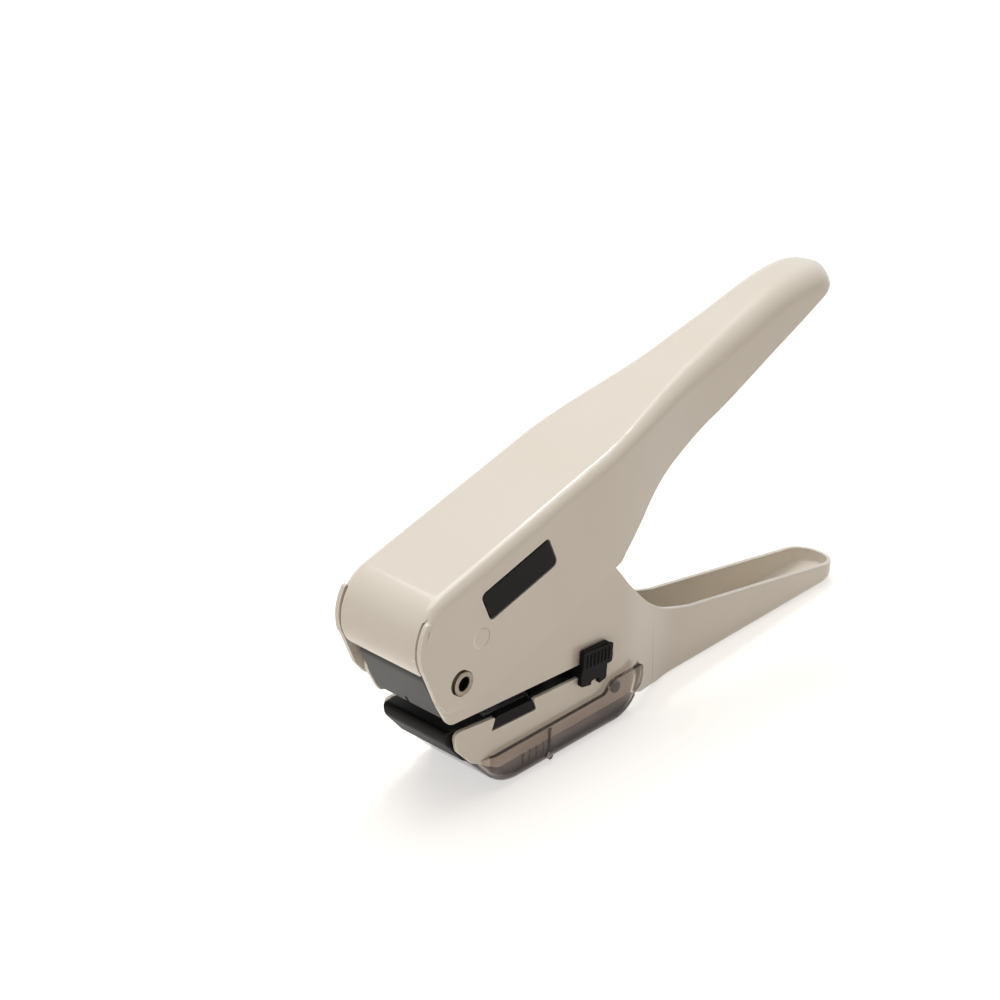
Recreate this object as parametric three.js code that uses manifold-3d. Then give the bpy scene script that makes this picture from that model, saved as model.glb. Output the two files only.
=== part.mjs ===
// Card hole punch: a hand-held slot punch with a squeeze lever, a depth slider and a hinged chip tray.
// Millimetres, +Z up, +X from the nose to the handle ends, +Y across. Places are measured from the fulcrum,
// the axis of the hollow rivet at the nose, and the last lines lift the whole punch onto the table.

import * as THREE from 'three';
import { mergeVertices } from 'three/addons/utils/BufferGeometryUtils.js';
import Module from 'manifold-3d';

const wasm = await Module();
wasm.setup();

// Sheet steel, gaps and tools
const sheet = 1.2; // steel of the frame and of the lever
const rest = 0.3; // gap between pieces that lie on each other
const slip = 0.1; // radial play of a pin in its hole
const overrun = 3; // how far a cutting tool passes the face that it cuts
const sink = 0.4; // how far two joined shapes of one piece reach into each other
const arcStep = 12; // degrees between the points of an arc
const quarterSteps = 4; // steps of a bend in the sheet
const boreSides = 24;
const pinSides = 16;
const bossSides = 20;
const ribSides = 6;
const barSides = 8;
const footSides = 12;
const heelSides = 40;

// Fulcrum
const rivetRadius = 3.1;
const rivetBore = 1.8;
const rivetProud = 0.35; // how far the rivet's ends stand out of the lever
const rivetChamfer = 0.45;
const washerThick = 0.5;
const washerRadius = 5.2;

// Widths across, each from the middle plane to the outside, as the punched slot leads to them
const slotLength = 15; // the punched slot, across
const slotWidth = 4;
const slotEdge = 1.9; // steel of the plates beyond the slot's ends
const plateEdge = 1.1; // plastic beside the plates
const plateHalfWide = slotLength / 2 + slotEdge; // die and guide plates
const blockHalf = plateHalfWide + plateEdge; // plastic blocks between the cheeks
const cheekInner = blockHalf + rest;
const cheekHalf = cheekInner + sheet;
const frontPlay = washerThick + rest; // between cheek and lever at the fulcrum
const rearPlay = 0.4; // between cheek and lever at the end of the head
const leverFrontHalf = cheekHalf + frontPlay + sheet;
const leverRearHalf = cheekHalf + rearPlay + sheet;
const frameGripHalf = 7;
const leverGripHalf = 7.8;

// Frame, side view
const frameReach = 157.5; // fulcrum to the end of the lower handle
const cheekFront = 9.4;
const cheekToe = 2.9; // front of the cheek at the throat's mouth
const cheekTop = 9.3;
const cheekRound = 3.6;
const crownTop = 13.6; // top of the cheeks behind the pressure block
const crownFront = 42;
const crownRear = 51.6;
const throatTilt = 3.4; // degrees, the throat falls towards the handles
const roofDrop = 11.55; // fulcrum to the throat's roof, straight down
const throatGap = 3.6;
const throatEnd = 56;
const punchArm = 20; // fulcrum to the punch
const notchHalf = 6.6; // dovetail notch at its mouth
const notchFlare = 1.4;
const notchDepth = 3.4;
const lipRise = 1.1; // how far the jaw's front rises above the throat's floor
const jawFront = 1.1;
const jawRound = 2.2;
const jawBottom = 30.3;
const jawChin = 5; // where the jaw's front meets the tray
const jawChinDrop = 25.2;
const jawBottomFront = 14;
const heelFront = 63;
const heelMiddle = 69;
const heelMiddleDrop = 33.9;
const heelRear = 83;
const heelRound = 6;
const heelSweep = 36; // long ease from the heel into the handle's underside
const waistFront = 58; // where the cheeks start to draw in to the handle
const waistRear = 86;
const rimFront = 92;
const rimFrontRise = 17.4; // height of the handle's rim above the table
const rimEndRise = 5.4;
const rimShares = [ // of the reach and of the fulcrum's height, from the handle's rim up to the crotch
  [0.585, -0.526], [0.553, -0.484], [0.525, -0.439], [0.501, -0.384], [0.473, -0.301],
  [0.449, -0.218], [0.425, -0.122], [0.403, -0.022], [0.388, 0.047], [0.371, 0.141],
  [0.355, 0.225], [0.344, 0.284],
];
const rimSteps = 22;
const frameBend = 1.5;
const frameEndBend = 2.8;
const frameEndRun = 9; // length over which the handle's underside rises to its end
const frameEndRise = 2.2;
const bendShare = 0.95; // most that a bend's radius is of the half width
const waistSteps = 8; // stations along the waist of the frame and of the lever
const endTurn = 10; // degrees short of the tip where the round ends' stations stop

// Lever, in its own axes: s along its top from over the fulcrum, n square to its top
const leverTilt = 15.1; // degrees that the lever's top rises towards its end at rest
const leverTop = 25.8;
const leverReach = 156.5;
const noseRadius = 12.1;
const noseCentre = 1.1;
const leverHeadEnd = 56;
const leverWaistEnd = 92;
const earRadius = 7.4; // round end of the side plates under the rivet
const earShares = [ // of the ear's radius, each corner's place and its own radius
  [-1.25, 0.1, 0.4], [-0.95, -0.58, 0.5], [0.1, -1.02, 1.2],
];
const earEdgeEnd = 57;
const earEdgeDrop = 4.8;
const undersideShares = [ // of the lever's reach and of its top, from the head to the end
  [0.375, -0.149], [0.391, -0.098], [0.426, -0.001], [0.449, 0.054], [0.473, 0.106],
  [0.497, 0.145], [0.525, 0.174], [0.566, 0.215], [0.621, 0.265], [0.693, 0.326],
  [0.855, 0.492], [1.03, 0.68],
];
const undersideSteps = 28;
const leverBend = 2.2;
const leverEndBend = 6.9;
const leverDomeFront = 127;
const leverDomeDrop = 8.4;
const domeSteps = 4;
const slit = 0.6; // between the nose strip and the side plates
const slitTop = 23.4;
const stripBottom = 8.9;
const stripStart = 118; // degrees round the nose where the strip is its own piece of sheet
const earStart = 194; // degrees round the nose where the side plates leave the nose's round
const slotShift = 1.2; // the lever's fulcrum holes are longer than they are high
const slotAngle = 143; // degrees, the way the holes are long
const dimpleS = 8.3; // round raised dimple on each side plate
const dimpleN = 8;
const dimpleRadius = 2.3;
const dimpleProud = 0.5;
const windowFront = 10.9;
const windowRear = 35.1;
const windowLow = 10.2;
const windowHigh = 19;
const windowLean = 1.3;
const windowRound = 1.8;

// Punch unit, in the throat's axes: u along the roof from the punch, w square to the roof
const guideThick = 1.6;
const dieThick = 2;
const plateLead = 6.2; // steel of the plates before and behind the slot
const plateHalfLong = slotWidth / 2 + plateLead;
const dieClearance = 0.15;
const bladeRetract = 0.3; // blade's tip above the roof at rest
const bladeEntry = 1; // how far the blade enters the die
const bladeHollow = 0.8; // hollow of the blade's tip
const bladeFlange = 0.8;
const flangeThick = 1.2;
const stroke = bladeRetract + throatGap + bladeEntry;
const blockDeck = 15.3; // deck of the head block above the roof
const deckPlay = 0.6;
const carrierLow = blockDeck + stroke + deckPlay;
const carrierThick = 2.6;
const carrierTop = carrierLow + carrierThick;
const carrierHalfLong = 13.6;
const carrierPlay = 1.8; // between the carrier and the cheeks
const carrierHalfWide = cheekInner - carrierPlay;
const carrierRound = 2;
const capLow = carrierTop + rest;
const capThick = 1.4;
const capCrown = 0.5;
const capTop = capLow + capThick;
const capHalfLong = 4.4;
const springOffset = 9.6;
const springRadius = 2.7; // to the middle of the wire
const springWire = 0.9;
const springCurls = 7;
const curlSteps = 8;
const wireSides = 5;
const springSeat = 4.4;
const guidePin = 1.2;
const guidePinFoot = 2.4;
const screwRadius = 1;
const screwHead = 1.8;
const screwSink = 1; // depth of a countersunk head
const screwLength = 4.6;
const screwLead = 2.2; // a screw's axis to the plate's ends
const screwSide = 2; // and to its sides
const screwU = plateHalfLong - screwLead;
const screwY = plateHalfWide - screwSide;
const chuteLead = 1.4; // room of the chute round the slot, along and across
const chuteSide = 0.9;
const chuteHalfLong = slotWidth / 2 + chuteLead;
const chuteHalfWide = slotLength / 2 + chuteSide;

// Head block and die block, side view
const blockBrow = 10.5; // front of the head block under the nose strip
const blockBrowRise = 4.2;
const blockChin = 4.3;
const blockChinDrop = 8.9;
const blockMouth = 0.6; // where the block's lead-in meets the throat's roof
const blockShoulder = 5.2;
const blockShoulderRise = 7.6;
const blockRearLug = 35.7;
const blockRear = 39;
const blockLugRise = 8.4;
const lugPinX = 37.3;
const lugPinRise = 6.5;
const lugPinRadius = 1;
const markWidth = 0.9; // centre mark on the head block's face
const markDepth = 0.5;
const markLength = 4.6;
const dieNose = 2.7;
const dieNoseRound = 2.1;
const dieBrow = 14.05; // fulcrum down to the top of the die block's nose
const dieCheek = 2.2;
const dieCheekDrop = 17.6;
const dieChin = 3.7;
const dieChinDrop = 24.6;
const dieFoot = 8.6;
const dieBottom = 27.6;
const dieRear = 46;
const dieLipEnd = 12.2;

// Pressure block in the lever
const blockPlay = 0.4; // between the block and the lever
const blockSkirt = 0.8; // how far the block passes the windows, above and below
const blockFront = 9;
const blockBack = 38;
const wearThick = 1.6;
const wearHalfLong = 5;
const wearStep = 1; // the wear plate is that much narrower than the carrier, each side
const wearHalfWide = carrierHalfWide - wearStep;
const wearRivet = 0.8;
const wearRivetEdge = 3; // its axis to the plate's side
const wearRivetY = wearHalfWide - wearRivetEdge;
const wearRivetLength = 4.4;
const bossHalfLong = 5.6;
const bossHeight = 5;
const beamHalf = 4;
const beamDepth = 5;
const hookFront = 2.6;
const hookBack = 4.4;
const hookThick = 2.1;
const hookPlay = 0.5;
const stopX = 43;
const stopRise = 9.7;
const stopRadius = 1.5;

// Depth slider, in the throat's axes
const sliderFront = 22.7;
const sliderLength = 10.8;
const gripThick = 1.2; // lower part of the side grips
const gripDrop = 6.2; // below the roof
const padProud = 0.5; // how far the ribbed pads stand out of the grips
const padRise = 4.2; // above the roof
const padDrop = 1.2; // below the roof
const archHalf = 1.5;
const archRise = 1.2;
const padRib = 0.3;
const padRibs = 7;
const leafHalf = 3.6;
const leafThick = 0.35;
const leafPocket = 1;
const leafBow = 0.4;
const leafSteps = 8;

// Chip tray
const trayWall = 1.1;
const trayHalf = cheekHalf + rest + trayWall;
const trayFront = 6.1;
const trayRim = 25.9; // fulcrum down to the tray's side rims
const trayNoseDrop = 26.4;
const trayFloorFront = 15.8;
const trayNoseRound = 13;
const trayHingeX = 56.4;
const trayHingeDrop = 25.7;
const trayHeel = 10.9; // radius of the rear wall, which curls round the hinge
const fulcrumHeight = trayHingeDrop + trayHeel; // from the table to the rivet's axis
const trayCurl = 36; // degrees below the horizontal where the rear wall ends
const trayEarRise = 2.7; // top of the tray's ears above its hinge
const trayEarFront = 4.4;
const trayEarLead = 1.9;
const trayEarRound = 1.6;
const trayBend = 3;
const trayPinRadius = 1.5;
const trayRelief = 0.4; // room round the tray's curled rear wall in the frame
const trayOpening = 40; // degrees that the tray swings down
const trayReliefStart = -110; // degrees round the hinge where the frame's relief starts
const trayReliefEnd = trayOpening - trayCurl + arcStep / 2;
const ribRadius = 0.25;
const ribPitch = 2.4;
const ribCount = 4;
const ribLow = 4.4; // above the table
const ribHigh = 7.4;
const barRadius = 0.5;
const barX = 31.3;
const footRadius = 0.9;
const footHigh = 2.3; // axis of the bar's foot above the table
const barDrop = 0.5; // top of the bar under the tray's rim
const footLength = 1.6;

// What the sizes above lead to
const rad = THREE.MathUtils.degToRad;
const lerp = THREE.MathUtils.lerp;
const slope = Math.tan(rad(throatTilt));
const roof = (x) => -roofDrop - slope * x;
const floor = (x) => roof(x) - throatGap;
const table = -fulcrumHeight;
const crownRadius = (capHalfLong ** 2 + capCrown ** 2) / (2 * capCrown);
const crownX = punchArm + (capTop - crownRadius) * Math.sin(rad(throatTilt));
const crownZ = roof(punchArm) + (capTop - crownRadius) * Math.cos(rad(throatTilt));
const strokeDown = stroke * Math.cos(rad(throatTilt));
const leverTravel = THREE.MathUtils.radToDeg(2 * Math.asin(strokeDown / 2 / crownX));
const wearTilt = leverTravel / 2; // the wear plate leans back by half the travel at rest
const contactX = crownX - (crownRadius + rest) * Math.sin(rad(wearTilt));
const contactZ = crownZ + (crownRadius + rest) * Math.cos(rad(wearTilt));

// Solids

// A closed solid with its faces looking out, from any closed geometry
function solid(geometry) {
  geometry.deleteAttribute('normal');
  geometry.deleteAttribute('uv');
  const merged = mergeVertices(geometry);
  const p = merged.attributes.position;
  const index = merged.index.array;
  let volume = 0;
  const [a, b, c] = [new THREE.Vector3(), new THREE.Vector3(), new THREE.Vector3()];
  for (let i = 0; i < index.length; i += 3) {
    a.fromBufferAttribute(p, index[i]);
    b.fromBufferAttribute(p, index[i + 1]);
    c.fromBufferAttribute(p, index[i + 2]);
    volume += a.dot(b.cross(c));
  }
  const triVerts = new Uint32Array(index);
  if (volume < 0) triVerts.reverse();
  return new wasm.Manifold(new wasm.Mesh({
    numProp: 3,
    vertProperties: new Float32Array(p.array),
    triVerts,
  }));
}

const body = (shape) => (shape.isBufferGeometry ? solid(shape) : shape);
const join = (...shapes) => shapes.map(body).reduce((sum, next) => sum.add(next));
const cut = (shape, ...tools) => tools.map(body).reduce((left, tool) => left.subtract(tool), body(shape));
const common = (shape, other) => body(shape).intersect(body(other));

// Outlines

// A closed outline through corners [x, z, radius], each corner eased by its radius
function rounded(corners) {
  const points = [];
  corners.forEach(([x, z, radius = 0], i) => {
    const [beforeX, beforeZ] = corners.at(i - 1);
    const [afterX, afterZ] = corners[(i + 1) % corners.length];
    const here = new THREE.Vector2(x, z);
    const back = new THREE.Vector2(beforeX, beforeZ).sub(here);
    const ahead = new THREE.Vector2(afterX, afterZ).sub(here);
    const opening = Math.acos(back.clone().normalize().dot(ahead.clone().normalize()));
    const reach = Math.min(radius / Math.tan(opening / 2), back.length() / 2, ahead.length() / 2);
    if (radius === 0) {
      points.push([x, z]);
      return;
    }
    const start = here.clone().addScaledVector(back.normalize(), reach);
    const end = here.clone().addScaledVector(ahead.normalize(), reach);
    const steps = Math.max(2, Math.ceil((180 - THREE.MathUtils.radToDeg(opening)) / (2 * arcStep)));
    const bend = new THREE.QuadraticBezierCurve(start, here, end);
    bend.getPoints(steps).forEach((point) => points.push([point.x, point.y]));
  });
  return points;
}

// Points of an arc, its angles in degrees
function arc(x, z, radius, from, to) {
  const steps = Math.max(1, Math.ceil(Math.abs(to - from) / arcStep));
  return Array.from({ length: steps + 1 }, (_, i) => {
    const angle = rad(lerp(from, to, i / steps));
    return [x + radius * Math.cos(angle), z + radius * Math.sin(angle)];
  });
}

// Points of a smooth line through places given as shares of a length and of a height
function smoothLine(shares, length, height, steps) {
  const places = shares.map(([along, up]) => new THREE.Vector2(along * length, up * height));
  return new THREE.SplineCurve(places).getPoints(steps).map((point) => [point.x, point.y]);
}

// A slot's outline with round ends, long across [along, across]
function obround(width, length, spare = 0) {
  const radius = width / 2 + spare;
  const run = (length - width) / 2;
  return [...arc(0, run, radius, 0, 180), ...arc(0, -run, radius, 180, 360)];
}

// Shapes

// An outline [x, z] as a plate between two places across
function plate(outline, from, to) {
  const shape = new THREE.Shape(outline.map(([x, z]) => new THREE.Vector2(x, z)));
  const geometry = new THREE.ExtrudeGeometry(shape, { depth: to - from, bevelEnabled: false });
  return geometry.rotateX(Math.PI / 2).translate(0, to, 0);
}

// An outline [x, y] raised between two heights
function raised(outline, low, high) {
  const shape = new THREE.Shape(outline.map(([x, y]) => new THREE.Vector2(x, y)));
  const geometry = new THREE.ExtrudeGeometry(shape, { depth: high - low, bevelEnabled: false });
  return geometry.translate(0, 0, low);
}

function box(low, high) {
  const [x, y, z] = low.map((value, i) => high[i] - value);
  const middle = low.map((value, i) => (value + high[i]) / 2);
  return new THREE.BoxGeometry(x, y, z).translate(...middle);
}

// A round bar across, at [x, z]
function bar(x, z, radius, from, to, sides = boreSides) {
  const geometry = new THREE.CylinderGeometry(radius, radius, to - from, sides);
  return geometry.translate(x, (from + to) / 2, z);
}

// A round post upright at [x, y]
function post(x, y, radius, low, high, sides = pinSides) {
  const geometry = new THREE.CylinderGeometry(radius, radius, high - low, sides);
  return geometry.rotateX(Math.PI / 2).translate(x, y, (low + high) / 2);
}

// A turned piece upright at [x, y], from a profile [radius, height] that starts and ends on the axis
function turned(x, y, profile, sides = pinSides) {
  const points = profile.map(([radius, height]) => new THREE.Vector2(radius, height));
  return new THREE.LatheGeometry(points, sides).rotateX(Math.PI / 2).translate(x, y, 0);
}

// The same shape on both sides of the middle plane
const both = (make) => [make(1), make(-1)];
const between = (side, from, to) => (side > 0 ? [from, to] : [-to, -from]);

// A quarter round of one radius as places [out, up] about its centre
function quarter(radius) {
  const steps = quarterSteps;
  return Array.from({ length: steps + 1 }, (_, i) => {
    const angle = (i / steps) * (Math.PI / 2);
    return [radius * Math.cos(angle), radius * Math.sin(angle)];
  });
}

// A solid channel core through stations across: its flat side at one height, its open side at another
function core(stations) {
  const rings = stations.map(({ x, half, flat, bend, open }) => {
    const way = Math.sign(open - flat);
    const corner = quarter(bend).map(([out, up]) => [half - bend + out, flat + way * (bend - up)]);
    const right = [[half, open], ...corner];
    const left = right.map(([y, z]) => [-y, z]).reverse();
    return [...right, ...left].map(([y, z]) => [x, y, z]);
  });
  const count = rings[0].length;
  const index = [];
  for (let i = 0; i + 1 < rings.length; i += 1) {
    for (let j = 0; j < count; j += 1) {
      const here = i * count + j;
      const next = i * count + ((j + 1) % count);
      index.push(here, next, here + count, next, next + count, here + count);
    }
  }
  const last = (rings.length - 1) * count;
  for (let j = 1; j + 1 < count; j += 1) {
    index.push(0, j + 1, j);
    index.push(last, last + j, last + j + 1);
  }
  const geometry = new THREE.BufferGeometry();
  geometry.setAttribute('position', new THREE.Float32BufferAttribute(rings.flat(2), 3));
  geometry.setIndex(index);
  return geometry;
}

// How much a value has passed from one place to another, eased at both ends
const eased = (value, from, to) => THREE.MathUtils.smoothstep(value, from, to);

// How far a quarter ellipse has fallen at a place between its start and its end
function roundOff(value, from, to) {
  const share = THREE.MathUtils.clamp((value - from) / (to - from), 0, 1);
  return 1 - Math.sqrt(1 - share * share);
}

// The throat's axes: the origin on the roof at the punch, the first axis along the roof to the rear
const throatAxes = new THREE.Matrix4().makeRotationY(rad(throatTilt));
throatAxes.setPosition(punchArm, 0, roof(punchArm));
const inThroat = (geometry) => geometry.applyMatrix4(throatAxes);

// A place in the lever's axes, with the lever at rest or tilted otherwise
const leverFromWorld = (x, z, tilt = leverTilt) => {
  const angle = rad(tilt);
  return [x * Math.cos(angle) + z * Math.sin(angle), z * Math.cos(angle) - x * Math.sin(angle)];
};

// The wear plate's axes in the lever's: the origin where the cap of the punch presses
const [wearS, wearN] = leverFromWorld(contactX, contactZ);
const wearAxes = new THREE.Matrix4().makeRotationY(rad(leverTilt - wearTilt));
wearAxes.setPosition(wearS, 0, wearN);
const inWear = (geometry) => geometry.applyMatrix4(wearAxes);

// Materials

const colours = {
  ivory: new THREE.Color(0.83, 0.78, 0.7),
  black: new THREE.Color(0.045, 0.045, 0.05),
  charcoal: new THREE.Color(0.1, 0.105, 0.11),
  steel: new THREE.Color(0.62, 0.62, 0.63),
  nickel: new THREE.Color(0.8, 0.79, 0.76),
  smoke: new THREE.Color(0.3, 0.25, 0.22),
};
const finish = (color, roughness, metalness, extra = {}) => (
  () => new THREE.MeshStandardMaterial({ color, roughness, metalness, ...extra })
);
const paint = finish(colours.ivory, 0.32, 0.1);
const plastic = finish(colours.black, 0.45, 0);
const greyPlastic = finish(colours.charcoal, 0.5, 0);
const steel = finish(colours.steel, 0.35, 1);
const nickel = finish(colours.nickel, 0.22, 1);
const smoke = finish(colours.smoke, 0.12, 0, { transparent: true, opacity: 0.5 });

function node(name, shape, material) {
  const { vertProperties, triVerts } = body(shape).getMesh();
  const geometry = new THREE.BufferGeometry();
  geometry.setAttribute('position', new THREE.BufferAttribute(vertProperties, 3));
  geometry.setIndex(new THREE.BufferAttribute(triVerts, 1));
  geometry.computeVertexNormals();
  const mesh = new THREE.Mesh(geometry, material());
  mesh.name = name;
  return mesh;
}

// Several pieces of one kind, each a node of its own
const nodes = (name, shapes, material) => (
  shapes.map((shape, i) => node(`${name}_${i + 1}`, shape, material))
);

// Frame: one channel of sheet steel, two cheeks round the throat and a trough for the lower handle

function frameStations(inset) {
  const endRadius = frameGripHalf - inset;
  const endCentre = frameReach - frameGripHalf;
  const halfAt = (x) => lerp(cheekHalf, frameGripHalf, eased(x, waistFront, waistRear)) - inset;
  const station = (x, half) => {
    const toEnd = eased(x, rimFront, endCentre);
    const rise = frameEndRise * roundOff(x, frameReach - frameEndRun, frameReach);
    const bend = Math.min(lerp(frameBend, frameEndBend, toEnd) - inset, half * bendShare);
    const flat = table + rise + inset;
    return { x, half, flat, bend, open: crownTop + overrun + inset };
  };
  const front = -cheekFront - overrun - inset;
  const waist = Array.from({ length: waistSteps + 1 }, (_, i) => (
    lerp(waistFront, waistRear, i / waistSteps)
  ));
  const rows = [front, ...waist, frameReach - frameEndRun, endCentre];
  const end = arc(endCentre, 0, endRadius, 90, endTurn).slice(1);
  return [...rows.map((x) => station(x, halfAt(x))), ...end.map(([x, half]) => station(x, half))];
}

// Corners of the dovetail in the throat's floor, from the rear to the front
function notchCorners(inset) {
  const rear = punchArm + notchHalf - inset;
  const front = punchArm - notchHalf + inset;
  return [
    [rear, floor(rear), notchFlare / 2],
    [rear + notchFlare, floor(rear) - notchDepth + inset, notchFlare / 4],
    [front - notchFlare, floor(front) - notchDepth + inset, notchFlare / 4],
    [front, floor(front), notchFlare / 2],
  ];
}

function frameOutline() {
  const rim = smoothLine(rimShares, frameReach, fulcrumHeight, rimSteps);
  const past = frameReach + overrun;
  const rimSlope = (rimFrontRise - rimEndRise) / (frameReach - rimFront);
  return [
    ...rounded([
      [-cheekFront, cheekToe / 4, cheekRound],
      [-cheekToe, roof(-cheekToe), cheekRound],
      [throatEnd, roof(throatEnd), throatGap / 2],
      [throatEnd, floor(throatEnd), throatGap / 2],
      ...notchCorners(0),
      [-jawFront, floor(-jawFront) + lipRise - rest, jawRound],
      [0, -dieCheekDrop - jawRound, dieNoseRound * 2],
      [jawChin, -jawChinDrop, jawRound],
      [jawBottomFront, -jawBottom, jawRound],
      [heelFront, -jawBottom, heelRound / 2],
      [heelMiddle, -heelMiddleDrop, heelRound],
      [heelRear, table, heelSweep],
      [past, table],
      [past, table + rimEndRise - rimSlope * overrun],
      [rimFront + heelRound, table + rimFrontRise - rimSlope * heelRound],
    ]).slice(0, -1),
    ...rim,
    ...rounded([
      rim.at(-1),
      [crownRear, crownTop, cheekToe / 2],
      [crownFront, crownTop, cheekToe / 2],
      [crownFront - crownTop + cheekTop, cheekTop, cheekToe / 2],
      [-cheekFront / 2, cheekTop, cheekRound],
      [-cheekFront, cheekTop / 2, cheekRound],
    ]).slice(1),
  ];
}

function makeFrame() {
  const channel = cut(core(frameStations(0)), core(frameStations(sheet)));
  const across = [-cheekHalf - overrun, cheekHalf + overrun];
  const curl = [
    ...arc(trayHingeX, -trayHingeDrop, trayHeel + trayRelief, trayReliefStart, trayReliefEnd),
    ...arc(trayHingeX, -trayHingeDrop, trayHeel - trayBend + trayRelief, trayReliefEnd, trayReliefStart),
  ];
  return cut(
    common(channel, plate(frameOutline(), ...across)),
    bar(0, 0, rivetRadius + slip, ...across),
    bar(stopX, stopRise, stopRadius + slip, ...across),
    bar(lugPinX, lugPinRise, lugPinRadius + slip, ...across),
    bar(trayHingeX, -trayHingeDrop, trayPinRadius + slip, ...across),
    plate(curl, ...across),
  );
}

// Head block: the plastic block between the upper cheeks that guides the punch and holds its springs

function makeHeadBlock() {
  const deck = (x) => roof(x) + blockDeck;
  const outline = rounded([
    [-blockBrow, blockBrowRise, slotWidth / 2],
    [-blockChin, -blockChinDrop, sheet],
    [blockMouth, roof(blockMouth), sheet],
    [blockRear, roof(blockRear), sheet / 2],
    [blockRear, blockLugRise, sheet],
    [blockRearLug, blockLugRise, sheet / 2],
    [blockRearLug, deck(blockRearLug)],
    [blockShoulder + sheet / 2, deck(blockShoulder)],
    [blockShoulder, blockShoulderRise, sheet],
    [-cheekFront / 2, blockShoulderRise, cheekRound],
  ]);
  const pocket = springRadius + springWire / 2 + rest;
  const pockets = both((side) => inThroat(
    post(side * springOffset, 0, pocket, springSeat, blockDeck + overrun, bossSides),
  ));
  const pinHoles = both((side) => inThroat(
    post(side * springOffset, 0, guidePin + slip, guidePinFoot - rest, springSeat + sink),
  ));
  const seatLong = plateHalfLong + rest;
  const seatWide = plateHalfWide + rest;
  const guideSeat = inThroat(box([-seatLong, -seatWide, -overrun], [seatLong, seatWide, guideThick + rest]));
  const slot = inThroat(raised(obround(slotWidth, slotLength, rest), 0, blockDeck + overrun));
  const screwHoles = screwPlaces().map(([u, y]) => inThroat(
    post(u, y, screwRadius + slip, 0, screwLength + rest),
  ));
  const mark = plate([
    [-blockBrow, -blockChinDrop + markLength],
    [-blockChin - markDepth, -blockChinDrop + markLength],
    [-blockChin + markDepth * 2, -blockChinDrop - markDepth],
    [-blockChin - overrun, -blockChinDrop - overrun],
  ], -markWidth / 2, markWidth / 2);
  return cut(
    plate(outline, -blockHalf, blockHalf),
    bar(0, 0, rivetRadius + slip, -cheekHalf, cheekHalf),
    bar(lugPinX, lugPinRise, lugPinRadius + slip, -cheekHalf, cheekHalf),
    guideSeat, slot, mark, ...pockets, ...pinHoles, ...screwHoles,
  );
}

const screwPlaces = () => [[screwU, screwY], [-screwU, screwY], [-screwU, -screwY], [screwU, -screwY]];

// A countersunk screw: its flat head at one height, its shank towards another
function screw(u, y, head, tip) {
  const way = Math.sign(tip - head);
  const profile = [
    [0, head],
    [screwHead, head],
    [screwHead, head + way * screwSink / 4],
    [screwRadius, head + way * screwSink],
    [screwRadius, tip - way * screwRadius / 2],
    [screwRadius / 2, tip],
    [0, tip],
  ];
  return turned(u, y, profile);
}

// The hole that a countersunk screw needs in its plate
function screwSeat(u, y, head, tip) {
  const way = Math.sign(tip - head);
  return turned(u, y, [
    [0, head - way * overrun],
    [screwHead + slip, head - way * overrun],
    [screwHead + slip, head + way * screwSink / 4],
    [screwRadius + slip, head + way * screwSink],
    [screwRadius + slip, tip],
    [0, tip],
  ]);
}

// Guide plate under the head block and die plate in the lower jaw, with a screw at each corner

const plateOutline = () => rounded([
  [plateHalfLong, plateHalfWide, screwRadius],
  [-plateHalfLong, plateHalfWide, screwRadius],
  [-plateHalfLong, -plateHalfWide, screwRadius],
  [plateHalfLong, -plateHalfWide, screwRadius],
]);

function makePunchGuide() {
  const seats = screwPlaces().map(([u, y]) => screwSeat(u, y, rest / 2, guideThick + overrun));
  return cut(
    raised(plateOutline(), 0, guideThick),
    raised(obround(slotWidth, slotLength, slip), -overrun, guideThick + overrun),
    ...seats,
  );
}

function makeDiePlate() {
  const top = -throatGap;
  const seats = screwPlaces().map(([u, y]) => screwSeat(u, y, top - rest / 2, top - dieThick - overrun));
  return cut(
    raised(plateOutline(), top - dieThick, top),
    raised(obround(slotWidth, slotLength, dieClearance), top - dieThick - overrun, top + overrun),
    ...seats,
  );
}

const makeGuideScrews = () => screwPlaces().map(([u, y]) => screw(u, y, rest / 2, screwLength));
const makeDieScrews = () => screwPlaces().map(([u, y]) => (
  screw(u, y, -throatGap - rest / 2, -throatGap - screwLength)
));

// Die block: the plastic lower jaw with its round nose, keyed into the cheeks by a dovetail each side

function makeDieBlock() {
  const outline = rounded([
    [dieLipEnd, floor(dieLipEnd), notchHalf],
    [-dieNose, -dieBrow, dieNoseRound],
    [-dieCheek, -dieCheekDrop, dieNoseRound * 2],
    [dieChin, -dieChinDrop, dieNoseRound],
    [dieFoot, -dieBottom, sheet],
    [dieRear, -dieBottom, sheet],
    [dieRear, floor(dieRear), sheet],
  ]);
  const lug = rounded(notchCorners(rest));
  const lugs = both((side) => plate(lug, ...between(side, blockHalf - sink, cheekHalf - slip)));
  const seatLong = plateHalfLong + rest;
  const seatWide = plateHalfWide + rest;
  const seatLow = -throatGap - dieThick - rest;
  const seat = inThroat(box([-seatLong, -seatWide, seatLow], [seatLong, seatWide, 0]));
  const chute = inThroat(box(
    [-chuteHalfLong, -chuteHalfWide, -dieBottom],
    [chuteHalfLong, chuteHalfWide, seatLow + sink],
  ));
  const holes = screwPlaces().map(([u, y]) => inThroat(
    post(u, y, screwRadius + slip, -throatGap - screwLength - rest, -throatGap),
  ));
  return cut(join(plate(outline, -blockHalf, blockHalf), ...lugs), seat, chute, ...holes);
}

// Rivet, pins and washers

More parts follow.
